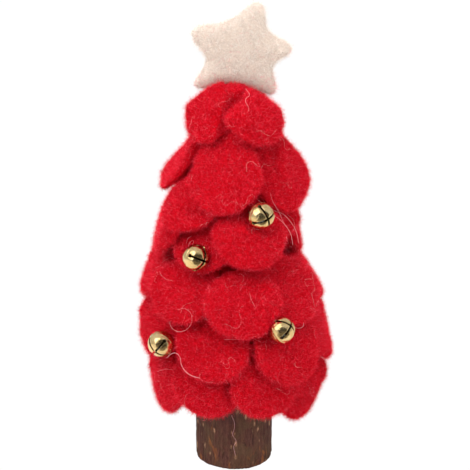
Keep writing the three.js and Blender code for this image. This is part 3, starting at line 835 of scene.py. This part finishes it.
def swept_middles():
    """The middle of each bell's ball at even steps from rest to the end of its swing."""
    rows = []
    for joint in frame["joints"]:
        if joint["type"] != "hinge":
            continue
        shell_points, _, _ = arrays_of(frame["nodes"][f"{joint['child']}_shell"].data)
        link = Vector(joint["pos_m"]) / MM
        arm = Vector(ball_fit(shell_points)) - link
        axis = Vector(joint["axis"])
        turns = np.radians(np.linspace(*joint["range_deg"], SWING_STEPS))
        rows.append([link + Matrix.Rotation(turn, 3, axis) @ arm for turn in turns])
    return np.array(rows)


def kept_off_bells(points):
    """Moves the points that lie in the room of a swinging bell out to its edge."""
    room = BELL_RADIUS + BELL_CLEARANCE
    for middles in bell_middles:
        near = np.linalg.norm(points - middles.mean(0), axis=-1) < 2 * room
        inside = points[near]
        nearest = np.linalg.norm(inside[:, None] - middles, axis=2).argmin(1)
        away = inside - middles[nearest]
        distance = np.linalg.norm(away, axis=1, keepdims=True)
        points[near] = middles[nearest] + away / distance * np.maximum(distance, room)
    return points


def clear_of_bells(points):
    """Which points lie outside the room of the swinging bells, but for half its clearance."""
    away = np.linalg.norm(points[..., None, :] - bell_middles.reshape(-1, 3), axis=-1)
    return away.min(-1) > BELL_RADIUS + BELL_CLEARANCE / 2


def fibres_on(mesh, kind, shown, rng, thinning=1.0):
    """Rows of points and radii of fibres that start on a mesh."""
    at, facing = sampled(mesh, kind["density"] * thinning, shown, rng)
    count, steps = len(at), kind["points"] - 1
    any_way = rng.normal(size=(count, 3))
    flat = unit(any_way - (any_way * facing).sum(1, keepdims=True) * facing)
    rise = np.radians(rng.uniform(*kind["rise"], count))[:, None]
    way = unit(flat * np.cos(rise) + facing * np.sin(rise))
    length = rng.uniform(*kind["length"], count) * rng.uniform(*FIBRE_LENGTH_SHARES, count)
    bend = np.radians(rng.normal(0, kind["curl"], count))[:, None]
    axis = unit(facing + FIBRE_AXIS_SCATTER * rng.normal(size=(count, 3)))
    points = [at - facing * FIBRE_ROOT_DEPTH]
    for _ in range(steps):
        points.append(points[-1] + way * (length / steps)[:, None])
        way = unit(way * np.cos(bend) + np.cross(axis, way) * np.sin(bend))
    radius = kind["radius"] * rng.uniform(*FIBRE_RADIUS_SHARES, count)
    taper = np.linspace(1, FIBRE_TIP_SHARE, steps + 1)
    return kept_off_bells(np.stack(points, 1)), radius[:, None] * taper


def strand_mesh(name, groups, materials):
    """One mesh of strands, from groups of their points, radii and material numbers."""
    verts, quads, tips, quad_slots, tip_slots, start = [], [], [], [], [], 0
    for points, radii, chosen in groups:
        these, more_quads, more_tips, quads_each, tips_each = tubes(points, radii)
        verts.append(these)
        quads.append(more_quads + start)
        tips.append(more_tips + start)
        quad_slots.append(np.repeat(chosen, quads_each))
        tip_slots.append(np.repeat(chosen, tips_each))
        start += len(these)
    slots = np.concatenate(quad_slots + tip_slots)
    parts = (np.concatenate(each) for each in (verts, quads, tips))
    return mesh_of(name, *parts, materials, slots)


def red_fuzz(name, mesh, shown, rng, thinning):
    """All the fibres of a red felt body."""
    groups = []
    for kind in FIBRE_KINDS:
        points, radii = fibres_on(mesh, kind, shown, rng, thinning)
        groups.append((points, radii, rng.choice(len(red_fibres), len(points), p=kind["shares"])))
    return strand_mesh(name, groups, red_fibres)


def cream_fuzz(name, mesh, shown, rng, thinning):
    """All the fibres of the star, with red wool mixed in low down."""
    blush_top = arrays_of(mesh)[0][:, 2].min() + STAR_BLUSH_HEIGHT
    groups = []
    for kind in FIBRE_KINDS:
        points, radii = fibres_on(mesh, kind, shown, rng, thinning)
        chosen = rng.choice(len(cream_fibres), len(points), p=CREAM_SHARES)
        depth = (blush_top - points[:, 0, 2]) / STAR_BLUSH_HEIGHT
        chosen[rng.random(len(points)) < depth * STAR_BLUSH_SHARE] = len(cream_fibres) - 1
        groups.append((points, radii, chosen))
    return strand_mesh(name, groups, cream_fibres)


def tuft(name, tree, middle, outward, count, rng):
    """Wool that rises from the felt round a point, and stays out of the room of the bells."""
    aside = rng.normal(size=(count, 3))
    aside = unit(aside - (aside @ outward)[:, None] * outward)
    starts = middle + aside * TUFT_REACH * np.sqrt(rng.random((count, 1)))
    roots = np.array([tree.find_nearest(start)[0] for start in starts.tolist()])
    tops = lerp(starts, middle, rng.uniform(*TUFT_DRAWN_IN, (count, 1))) + outward * TUFT_HEIGHT
    tops = tops + rng.normal(0, TUFT_SCATTER, (count, 3))
    share = np.linspace(0, 1, TUFT_POINTS)[None, :, None]
    bow = np.sin(share * math.pi) * rng.normal(0, TUFT_BOW, (count, 1, 3))
    share = share * rng.uniform(*TUFT_LENGTH_SHARES, (count, 1, 1))
    points = kept_off_bells(lerp(roots[:, None], tops[:, None], share) + bow)
    points = points[clear_of_bells(lerp(points[:, 1:], points[:, :-1], 0.5)).all(1)]
    count = len(points)
    radii = MATTED["radius"] * rng.uniform(*TUFT_RADIUS_SHARES, (count, 1))
    radii = radii * np.linspace(1, FIBRE_TIP_SHARE, TUFT_POINTS)
    chosen = rng.choice(len(red_fibres), count, p=MATTED["shares"])
    return strand_mesh(name, [(points, radii, chosen)], red_fibres)


def resampled(points, step):
    """A soft curve through points, at even steps."""
    points = np.asarray(points, float)
    padded = np.concatenate([[2 * points[0] - points[1]], points, [2 * points[-1] - points[-2]]])
    fine = []
    for i in range(len(points) - 1):
        a, b, c, d = padded[i : i + 4]
        t = np.linspace(0, 1, HAIR_CURVE_STEPS, endpoint=False)[:, None]
        curve = 2 * b + (c - a) * t + (2 * a - 5 * b + 4 * c - d) * t**2
        fine.append((curve + (3 * b - a - 3 * c + d) * t**3) / 2)
    fine = np.concatenate([*fine, points[-1:]])
    run = np.concatenate([[0], np.cumsum(np.linalg.norm(np.diff(fine, axis=0), axis=1))])
    even = np.linspace(0, run[-1], max(HAIR_LEAST_POINTS, round(run[-1] / step)))
    return np.stack([np.interp(even, run, fine[:, i]) for i in range(3)], 1)


def smoothed(points, rounds=2):
    points = points.copy()
    for _ in range(rounds):
        points[1:-1] = (points[:-2] + 2 * points[1:-1] + points[2:]) / 4
    return points


def wandering_hair(tree, start, rng):
    """A curly hair that wanders over the felt from a starting point."""
    steps = rng.integers(*STRAY_STEPS)
    heading = rng.normal(size=3)
    swing = rng.uniform(*STRAY_SWING) * rng.choice((-1, 1))
    wave, phase = rng.uniform(*STRAY_WAVE), rng.uniform(0, TURN)
    points, here = [], np.array(start)
    for step in range(steps):
        found, normal, _, _ = tree.find_nearest(here.tolist())
        if found is None:
            break
        normal = np.array(normal)
        lift = lerp(*STRAY_LIFT, 0.5 + 0.5 * math.sin(phase + step * STRAY_BOB))
        here = np.array(found) + normal * lift
        points.append(here)
        heading = unit(heading - (heading @ normal) * normal)
        turn = swing * math.sin(phase + wave * step) + rng.normal(0, STRAY_JITTER)
        heading = heading * math.cos(turn) + np.cross(normal, heading) * math.sin(turn)
        here = here + heading * STRAY_STEP
    return smoothed(np.array(points))


# Camera


def camera_frame():
    tilt = math.radians(CAMERA_ELEVATION)
    back = np.array((0, -math.cos(tilt), math.sin(tilt)))
    eye = np.array(CAMERA_TARGET) + back * CAMERA_DISTANCE
    right = np.array((1.0, 0.0, 0.0))
    return eye, right, np.cross(back, right), back


def through_pixel(x, y):
    """The way from the camera through a point of the photograph."""
    eye, right, up, back = camera_frame()
    focal = IMAGE_SIDE * CAMERA_LENS / CAMERA_SENSOR
    half = IMAGE_SIDE / 2
    return eye, unit(right * (x - half) + up * (half - y) - back * focal)


def make_camera():
    eye, right, up, back = camera_frame()
    data = bpy.data.cameras.new("portrait_camera")
    data.lens, data.sensor_width = CAMERA_LENS, CAMERA_SENSOR
    data.clip_start, data.clip_end = (each * MM for each in CAMERA_CLIP)
    camera = in_scene("portrait_camera", data)
    camera.matrix_world = Matrix(
        [[*(axis[i] for axis in (right, up, back)), eye[i] * MM] for i in range(3)] + [[0, 0, 0, 1]]
    )
    bpy.context.scene.camera = camera


# Long hairs that lie as in the photograph: the radius of each, and the places that it runs
# through, measured from the left and the top of the photograph
PHOTO_HAIRS = (
    (0.1, (
        (167, 358), (171, 354), (176, 353), (180, 357), (181, 364), (185, 371), (192, 376),
        (200, 378),
    )),
    (0.09, (
        (291, 326), (296, 328), (301, 328), (304, 325), (303, 322),
    )),
    (0.055, (
        (256, 198), (264, 205), (271, 213), (279, 219), (286, 226), (291, 235), (293, 246),
    )),
    (0.05, (
        (262, 199), (268, 206), (275, 211), (283, 214), (290, 221), (296, 231), (299, 244),
    )),
    (0.045, (
        (270, 192), (273, 202), (279, 212), (284, 224), (286, 238),
    )),
    (0.06, (
        (188, 247), (190, 242), (194, 240), (192, 246), (189, 250),
    )),
    (0.06, (
        (186, 244), (188, 238), (192, 236),
    )),
    (0.045, (
        (231.4, 415), (234.3, 422.1), (234.3, 428.6), (232.5, 435), (236.4, 441.4), (233.6, 446.4),
        (235.7, 456.4),
    )),
    (0.04, (
        (245, 88), (250, 95), (245.5, 98.5), (246, 103), (249, 108), (247.5, 113),
    )),
    (0.035, (
        (177, 310), (184, 308.5), (190, 312), (192, 319), (190, 326), (184, 331), (177, 331.5),
        (171, 327), (169.5, 321),
    )),
    (0.03, (
        (152, 378), (157, 372), (165, 369), (174, 370),
    )),
    (0.035, (
        (224, 339.5), (233, 339.5), (242, 339), (251, 337.5), (258, 335.5),
    )),
    (0.035, (
        (249.5, 292), (250.5, 298), (253, 303), (255.5, 308),
    )),
    (0.03, (
        (159.5, 271), (162, 276.5), (167, 279.5), (174, 281),
    )),
)


def photo_hair(tree, pixels):
    """The points of a hair, which bridges the hollows between scales rather than dips in."""
    ways, reaches = [], []
    for i, (x, y) in enumerate(pixels):
        eye, way = through_pixel(x, y)
        found, _, _, reach = tree.ray_cast(eye.tolist(), way.tolist())
        if found is not None:
            ways.append(way)
            reaches.append(reach - lerp(*STRAY_LIFT, (i * HAIR_LIFT_STEP) % 1))
    last = len(ways) - 1
    for i in range(last):
        reaches[i + 1] = min(reaches[i + 1], reaches[i] + HAIR_DIP)
    for i in range(last, 0, -1):
        reaches[i - 1] = min(reaches[i - 1], reaches[i] + HAIR_DIP)
    return [eye + way * reach for way, reach in zip(ways, reaches)]


def hair_mesh(name, rows, materials, rng):
    """Long hairs, each with its own number of points, as one mesh."""
    groups = []
    for points, radius in rows:
        taper = np.ones(len(points))
        taper[:2] = HAIR_ROOT_SHARES
        taper[-2:] = HAIR_TIP_SHARES
        groups.append((points[None], radius * taper[None], rng.integers(len(materials), size=1)))
    return strand_mesh(name, groups, materials)


# Trunk


def trunk_radii(angles, heights):
    """The CAD trunk's own outline, softened round the branch."""
    points, _, triangles = arrays_of(frame["nodes"]["trunk_log"].data)
    tree = BVHTree.FromPolygons(points.tolist(), triangles.tolist())
    rows = []
    for height in heights:
        row = []
        for angle in angles:
            out = Vector((math.cos(angle), math.sin(angle), 0))
            hit = tree.ray_cast(out * TRUNK_OUTSIDE + Vector((0, 0, height)), -out)[0]
            row.append(Vector((hit.x, hit.y)).length)
        rows.append(row)
    radii = np.array(rows)
    width = len(angles) // TRUNK_SOFTENING
    return sum(np.roll(radii, shift, 1) for shift in range(-width, width + 1)) / (2 * width + 1)


def bark_relief(angle, height):
    """How far the bark stands out, from its long ridges down to its fine cracks."""
    x, y = BARK_RADIUS * math.cos(angle), BARK_RADIUS * math.sin(angle)

    def grain(across, along, shift):
        return noise.noise(Vector((x * across + shift[0], y * across + shift[1], height * along)))

    crack = max(0.0, BARK_CRACK_WIDTH - abs(grain(*BARK_CRACKS)))
    return sum(high * grain(*lie) for high, *lie in BARK_GRAINS) - BARK_CRACK_DEPTH * crack


def trunk_mesh():
    angles = even_turns(TRUNK_SIDES)
    sample = np.array((1.0, TRUNK_HEIGHT / 2, TRUNK_HEIGHT - 1.0))
    outlines = trunk_radii(angles, sample)
    side_heights = np.linspace(TRUNK_FOOT_ROUND, TRUNK_HEIGHT, TRUNK_LEVELS)
    heights = np.concatenate([list(FOOT_SHARES), side_heights])
    sides = []
    for height in heights:
        outline = [np.interp(height, sample, outlines[:, i]) for i in range(TRUNK_SIDES)]
        relief = np.array([bark_relief(angle, height) for angle in angles])
        inset = TRUNK_FOOT_ROUND * FOOT_SHARES.get(float(height), 0)
        sides.append(np.array(outline) + relief - inset)
    shares = np.linspace(0, 1, CAP_RINGS, endpoint=False)[1:]
    foot = [level_ring(angles, sides[0] * share, 0) for share in shares]
    side = [level_ring(angles, radii, height) for radii, height in zip(sides, heights)]
    top = [lerp(sides[-1], TRUNK_HOLE_RADIUS, share) for share in (*shares, 1)]
    top = [level_ring(angles, radii, TRUNK_HEIGHT) for radii in top]
    rings = [*foot, *side, *top, level_ring(angles, TRUNK_HOLE_RADIUS, TRUNK_HOLE_FLOOR)]
    points, quads, fans = loft(rings, (0, 0, 0), (0, 0, TRUNK_HOLE_FLOOR))
    bands = np.repeat(np.arange(len(rings) - 1), TRUNK_SIDES)
    barked = (bands >= len(foot)) & (bands < len(foot) + len(side) - 1)
    slots = np.concatenate([np.where(barked, 0, 1), np.ones(len(fans), int)])
    mesh = mesh_of("trunk_bark", points, quads, fans, (bark, sawn_wood), slots)
    mesh.set_sharp_from_angle(angle=math.radians(BARK_EDGE))
    return mesh


# Bells


def lathe(profile, sides):
    """A surface turned round Z from (radius, height) pairs that start and end on the axis."""
    turns = even_turns(sides)
    rings = [level_ring(turns, radius, height) for radius, height in profile[1:-1]]
    return loft(rings, (0, 0, profile[0][1]), (0, 0, profile[-1][1]))


def ball_profile(radius, levels, seam=0.0):
    profile = []
    for level in range(levels + 1):
        turn = math.pi * level / levels
        height = -radius * math.cos(turn)
        ridge = seam * math.exp(-((height / BELL_SEAM_HALF_WIDTH) ** 2))
        profile.append(((radius + ridge) * math.sin(turn), height))
    return profile


def keyhole_cutter():
    """A slot with a round end, run through the whole bell along local X."""
    half = SLOT_WIDTH / 2
    start = math.asin(half / SLOT_END_RADIUS)
    turns = np.linspace(math.pi / 2 - start, -1.5 * math.pi + start, SLOT_END_POINTS)
    arc = [
        (SLOT_END_RADIUS * math.cos(t), SLOT_END_HEIGHT + SLOT_END_RADIUS * math.sin(t))
        for t in turns
    ]
    outline = [*arc, (-half, SLOT_REACH), (half, SLOT_REACH)]
    count = len(outline)
    points = [(x, y, z) for x in (-SLOT_REACH, SLOT_REACH) for y, z in outline]
    mesh = bpy.data.meshes.new("slot_cutter")
    faces = [tuple(range(count)), tuple(range(2 * count - 1, count - 1, -1))]
    faces += [(i, i + count, (i + 1) % count + count, (i + 1) % count) for i in range(count)]
    mesh.from_pydata([[c * MM for c in point] for point in points], [], faces)
    return mesh


def turned_in(points):
    """The lips of the slots, turned in a little, as the press leaves them."""
    near = np.abs(points[:, :2]).min(1) / SLOT_LIP_WIDTH
    up = np.clip((points[:, 2] - SLOT_END_HEIGHT) / SLOT_LIP_WIDTH, 0, 1)
    return points * (1 - SLOT_LIP_DEPTH / BELL_RADIUS * up * np.exp(-(near**2)))[:, None]


def bell_shell_mesh():
    """A thin shell of two pressed halves with two crossed slots, opening towards local +Z."""
    outer = lathe(ball_profile(BELL_RADIUS, SHELL_LEVELS, BELL_SEAM_HEIGHT), SHELL_SIDES)
    inner = lathe(ball_profile(BELL_RADIUS - BELL_WALL, SHELL_INNER_LEVELS), SHELL_INNER_SIDES)
    points = np.concatenate([turned_in(outer[0]), inner[0]])
    start = len(outer[0])
    quads = np.concatenate([outer[1], inner[1][:, ::-1] + start])
    fans = np.concatenate([outer[2], inner[2][:, ::-1] + start])
    slots = [np.zeros(len(outer[1]), int), np.ones(len(inner[1]), int)]
    slots += [np.zeros(len(outer[2]), int), np.ones(len(inner[2]), int)]
    mesh = mesh_of("shell", points, quads, fans, (brass, dull_brass), np.concatenate(slots))
    shell = in_scene("rough_shell", mesh)
    helpers = [shell]
    for turn in (0, math.pi / 2):
        cutter = in_scene("slot_cutter", keyhole_cutter())
        cutter.data.transform(Matrix.Rotation(turn, 4, "Z"))
        helpers.append(cutter)
        slot = shell.modifiers.new("slot", "BOOLEAN")
        slot.operation, slot.solver, slot.object = "DIFFERENCE", "EXACT", cutter
    bevel = shell.modifiers.new("bevel", "BEVEL")
    bevel.width, bevel.segments = SLOT_BEVEL * MM, SLOT_BEVEL_STEPS
    bevel.limit_method, bevel.angle_limit = "ANGLE", math.radians(SLOT_EDGE)
    view = bpy.context.evaluated_depsgraph_get()
    mesh = bpy.data.meshes.new_from_object(shell.evaluated_get(view))
    for helper in helpers:
        bpy.data.objects.remove(helper)
    mesh.shade_smooth()
    mesh.set_sharp_from_angle(angle=math.radians(SHELL_EDGE))
    return mesh


def ring_tube(middle, first, second, ring_radius, tube_radius, steps, sides, swing=None):
    """A closed tube round a circle. swing(turn) moves its line off the circle."""
    line = []
    for turn in even_turns(steps):
        out = first * math.cos(turn) + second * math.sin(turn)
        point = middle + out * ring_radius
        if swing:
            aside, along = swing(turn)
            point = point + out * aside + np.cross(first, second) * along
        line.append(point)
    line = np.array(line)
    way = unit(np.roll(line, -1, 0) - np.roll(line, 1, 0))
    across = np.cross(first, second)
    side = unit(across - (way @ across)[:, None] * way)
    other = np.cross(way, side)
    rows = []
    for corner in range(sides):
        turn = TURN * corner / sides
        rows.append(line + (side * math.cos(turn) + other * math.sin(turn)) * tube_radius)
    points = np.stack(rows, 1).reshape(-1, 3)
    here = np.arange(steps)[:, None] * sides
    beyond = np.roll(here, -1, 0)
    corner = np.arange(sides)
    beside = np.roll(corner, -1)
    quads = [here + corner, here + beside, beyond + beside, beyond + corner]
    return points, np.stack(quads, 2).reshape(-1, 4)


def ball_fit(points):
    """The middle of the ball that a bell's outer faces lie on."""
    middle = (points.max(0) + points.min(0)) / 2
    for _ in range(BELL_FIT_ROUNDS):
        away = np.linalg.norm(points - middle, axis=1)
        outer = points[away > BELL_RADIUS - BELL_WALL / 2]
        rows = np.concatenate([2 * outer, np.ones((len(outer), 1))], 1)
        middle = np.linalg.lstsq(rows, (outer**2).sum(1), rcond=None)[0][:3]
    return middle


def box_middle(node):
    low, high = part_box(node)
    return np.array((low + high) / 2) / MM


def stitch_mesh(name, middle, hinge, outward, radius):
    """A ring of thread, twisted from its plies."""
    offset = THREAD_RADIUS * PLY_OFFSET_SHARE
    verts, faces, start = [], [], 0
    for ply in range(THREAD_PLIES):

        def twist(turn, ply=ply):
            angle = THREAD_TWISTS * turn + TURN * ply / THREAD_PLIES
            return offset * math.cos(angle), offset * math.sin(angle)

        thickness = THREAD_RADIUS * PLY_RADIUS_SHARE
        points, quads = ring_tube(
            middle, hinge, outward, radius, thickness, THREAD_STEPS, THREAD_SIDES, twist
        )
        verts.append(points)
        faces.append(quads + start)
        start += len(points)
    return mesh_of(name, np.concatenate(verts), np.concatenate(faces), (), (red_thread,))


def pellet_mesh(name, middle, number):
    points, quads, fans = lathe(ball_profile(PELLET_RADIUS, PELLET_LEVELS), PELLET_SIDES)
    shift = Vector((number, 0, 0))
    dents = [noise.noise(Vector(point) * PELLET_DENT_SCALE + shift) for point in points.tolist()]
    points = points * (1 + PELLET_DENT_SHARE * np.array(dents))[:, None] + middle
    return mesh_of(name, points, quads, fans, (steel,))


def make_bell(number, facing, slot, shell, tree, thinning):
    body = f"bell{number}"
    points, _, _ = arrays_of(frame["nodes"][f"{body}_shell"].data)
    middle = ball_fit(points)
    facing = unit(np.array(facing))
    across = unit(np.array(slot) - (np.array(slot) @ facing) * facing)
    other = np.cross(facing, across)
    joint = next(each for each in frame["joints"] if each["name"] == f"{body}_swing")
    hinge = unit(np.array(joint["axis"]))
    link = np.array(joint["pos_m"]) / MM

    rows = [[across[i], other[i], facing[i], middle[i] * MM] for i in range(3)]
    mesh = shell.copy()
    mesh.name = f"{body}_shell_brass"
    mesh.transform(Matrix([*rows, [0, 0, 0, 1]]))
    piece(mesh, body, "bell_brass", f"{body}_shell")

    loop_middle = box_middle(f"{body}_loop")
    aside = np.cross(hinge, facing)
    points, quads = ring_tube(
        loop_middle, aside, facing, LOOP_RADIUS, LOOP_WIRE_RADIUS, LOOP_STEPS, LOOP_SIDES
    )
    mesh = mesh_of(f"{body}_loop_wire", points, quads, (), (brass,))
    piece(mesh, body, "bell_brass", f"{body}_loop")

    stitch_middle = box_middle(f"{body}_thread")
    outward = unit(link - stitch_middle)
    rng = np.random.default_rng([SEED, TUFT_SEED + number])
    mesh = tuft(f"{body}_tuft", tree, loop_middle, outward, int(TUFT_FIBRES * thinning), rng)
    piece(mesh, "root", "red_felt")

    radius = np.linalg.norm(link - stitch_middle)
    mesh = stitch_mesh(f"{body}_stitch", stitch_middle, hinge, outward, radius)
    piece(mesh, "root", "thread", f"{body}_thread")

    mesh = pellet_mesh(f"{body}_pellet_ball", box_middle(f"{body}_pellet"), number)
    piece(mesh, f"pellet{number}", "pellet_steel", f"{body}_pellet")


def make_dowel():
    low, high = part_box("centre_dowel")
    radius = (high.x - low.x) / 2 / MM
    bottom, top = low.z / MM, high.z / MM
    chamfer = radius * DOWEL_CHAMFER_SHARE
    heights = np.linspace(bottom + DOWEL_END, top - DOWEL_END, DOWEL_LEVELS)
    profile = [(0, bottom), (radius - chamfer, bottom), (radius, bottom + chamfer)]
    profile += [(radius, height) for height in heights]
    profile += [(radius, top - chamfer), (radius - chamfer, top), (0, top)]
    points, quads, fans = lathe(profile, DOWEL_SIDES)
    mesh = mesh_of("dowel_pin", points, quads, fans, (dowel_wood,))
    mesh.set_sharp_from_angle(angle=math.radians(DOWEL_EDGE))
    piece(mesh, "root", "dowel_wood", "centre_dowel")


# Stage


def make_floor():
    signs = ((-1, -1, 0), (1, -1, 0), (1, 1, 0), (-1, 1, 0))
    corners = np.array(signs, float) * FLOOR_HALF
    mesh = mesh_of("studio_floor", corners, [(0, 1, 2, 3)], (), (floor_material(),))
    floor = in_scene("studio_floor", mesh)
    floor.location.z = -FLOOR_DEPTH * MM


def area_light(name, azimuth, elevation, distance, size, power):
    way = way_of(azimuth, elevation)
    data = bpy.data.lights.new(name, "AREA")
    data.shape, data.size, data.energy = "SQUARE", size * MM, power
    light = in_scene(name, data)
    light.location = (Vector(CAMERA_TARGET) + way * distance) * MM
    light.rotation_euler = way.to_track_quat("Z", "Y").to_euler()
    light.visible_glossy = False


def make_world():
    """Soft white all round, dimmer towards the front, where a camera and its user stand."""
    world = bpy.data.worlds.new("studio")
    world.use_nodes = True
    nodes = Nodes(world.node_tree)
    place = nodes.node("ShaderNodeTexCoord", "Generated")
    front, window, dim = (
        nodes.ramp(nodes.along(place, way), *cosines, shape="SMOOTHSTEP")
        for way, cosines in (
            (FRONT_WAY, FRONT_COSINES),
            (WINDOW_WAY, WINDOW_COSINES),
            (DIM_WAY, DIM_COSINES),
        )
    )
    given = nodes.ramp(front, 0, 1, GIVEN_ROUND, GIVEN_FRONT)
    mirrored = nodes.ramp(window, 0, 1, MIRRORED_ROUND, MIRRORED_WINDOW)
    mirrored = nodes.ramp(dim, 0, 1, mirrored, MIRRORED_FRONT)
    glossy = nodes.node("ShaderNodeLightPath", "Is Glossy Ray")
    seen = nodes.node("ShaderNodeLightPath", "Is Camera Ray")
    strength = nodes.ramp(glossy, 0, 1, given, mirrored)
    background = nodes.tree.nodes["Background"].inputs
    nodes.put(background["Strength"], nodes.ramp(seen, 0, 1, strength, 1))
    nodes.put(background["Color"], (1, 1, 1))
    bpy.context.scene.world = world


# Everything, from the inside out

make_camera()
make_floor()
make_world()
for name, settings in LIGHTS.items():
    area_light(name, *settings)
bpy.context.scene.view_settings.view_transform = "Standard"

scale_nodes = sorted(name for name in frame["nodes"] if name.startswith("felt_scale"))
bodies = softened([*scale_nodes, "core_cone", "star"])
for index, node in enumerate(scale_nodes):
    felted(bodies[node], node.replace("felt_scale", "felt"), red_felt, index)
for node, fold in FOLDS.items():
    fold_back(bodies[node], *fold)
slim_wing(bodies[WING_NODE])
felted(bodies["core_cone"], "core_felt", core_felt, len(scale_nodes))
felted(bodies["star"], "star_felt", cream_felt, len(scale_nodes) + 1)
bodies["crown"] = felted(crown_mesh(), "crown_felt", red_felt, len(scale_nodes) + 2)

felt_tree = tree_of(bodies.values())
bell_middles = swept_middles()
thinning = 1.0
shown = {}
for index, (node, mesh) in enumerate(bodies.items()):
    rng = np.random.default_rng([SEED, index])
    slot = {"star": "cream_felt", "core_cone": "core_felt"}.get(node, "red_felt")
    stands_for = [node] if node in frame["nodes"] else []
    padded = piece(mesh, "root", slot, *stands_for)
    name = mesh.name.replace("felt", "fuzz")
    make_fuzz = cream_fuzz if node == "star" else red_fuzz
    shown[node] = openness(mesh, felt_tree)
    less = {"star": STAR_THINNING, "core_cone": CORE_THINNING}.get(node, 1)
    piece(make_fuzz(name, mesh, shown[node], rng, thinning * less), "root", slot)

rng = np.random.default_rng(SEED)
rows = []
for node in rng.choice(scale_nodes, STRAY_COUNT):
    starts, _ = sampled(bodies[node], STRAY_DENSITY, shown[node], rng)
    if len(starts):
        hair = wandering_hair(felt_tree, starts[0], rng)
        rows.append((hair, STRAY_RADIUS * rng.uniform(*STRAY_RADIUS_SHARES)))
rows = [row for row in rows if len(row[0]) > STRAY_LEAST]
hairs = hair_mesh("stray_hairs", rows, (stray_fibre, stray_white), rng)
piece(hairs, "root", "red_felt")

trunk = trunk_mesh()
piece(trunk, "root", "bark", "trunk_log")
shown_tree = tree_of([*bodies.values(), trunk])
rows = []
for radius, pixels in PHOTO_HAIRS:
    points = photo_hair(shown_tree, pixels)
    if len(points) > 2:
        rows.append((smoothed(resampled(points, STRAY_STEP)), radius))
hairs = hair_mesh("curly_hairs", rows, (stray_fibre,), rng)
piece(hairs, "root", "red_felt")

shell = bell_shell_mesh()
for index, (facing, slot) in enumerate(BELL_SHARES):
    make_bell(index + 1, facing, slot, shell, felt_tree, thinning)
make_dowel()
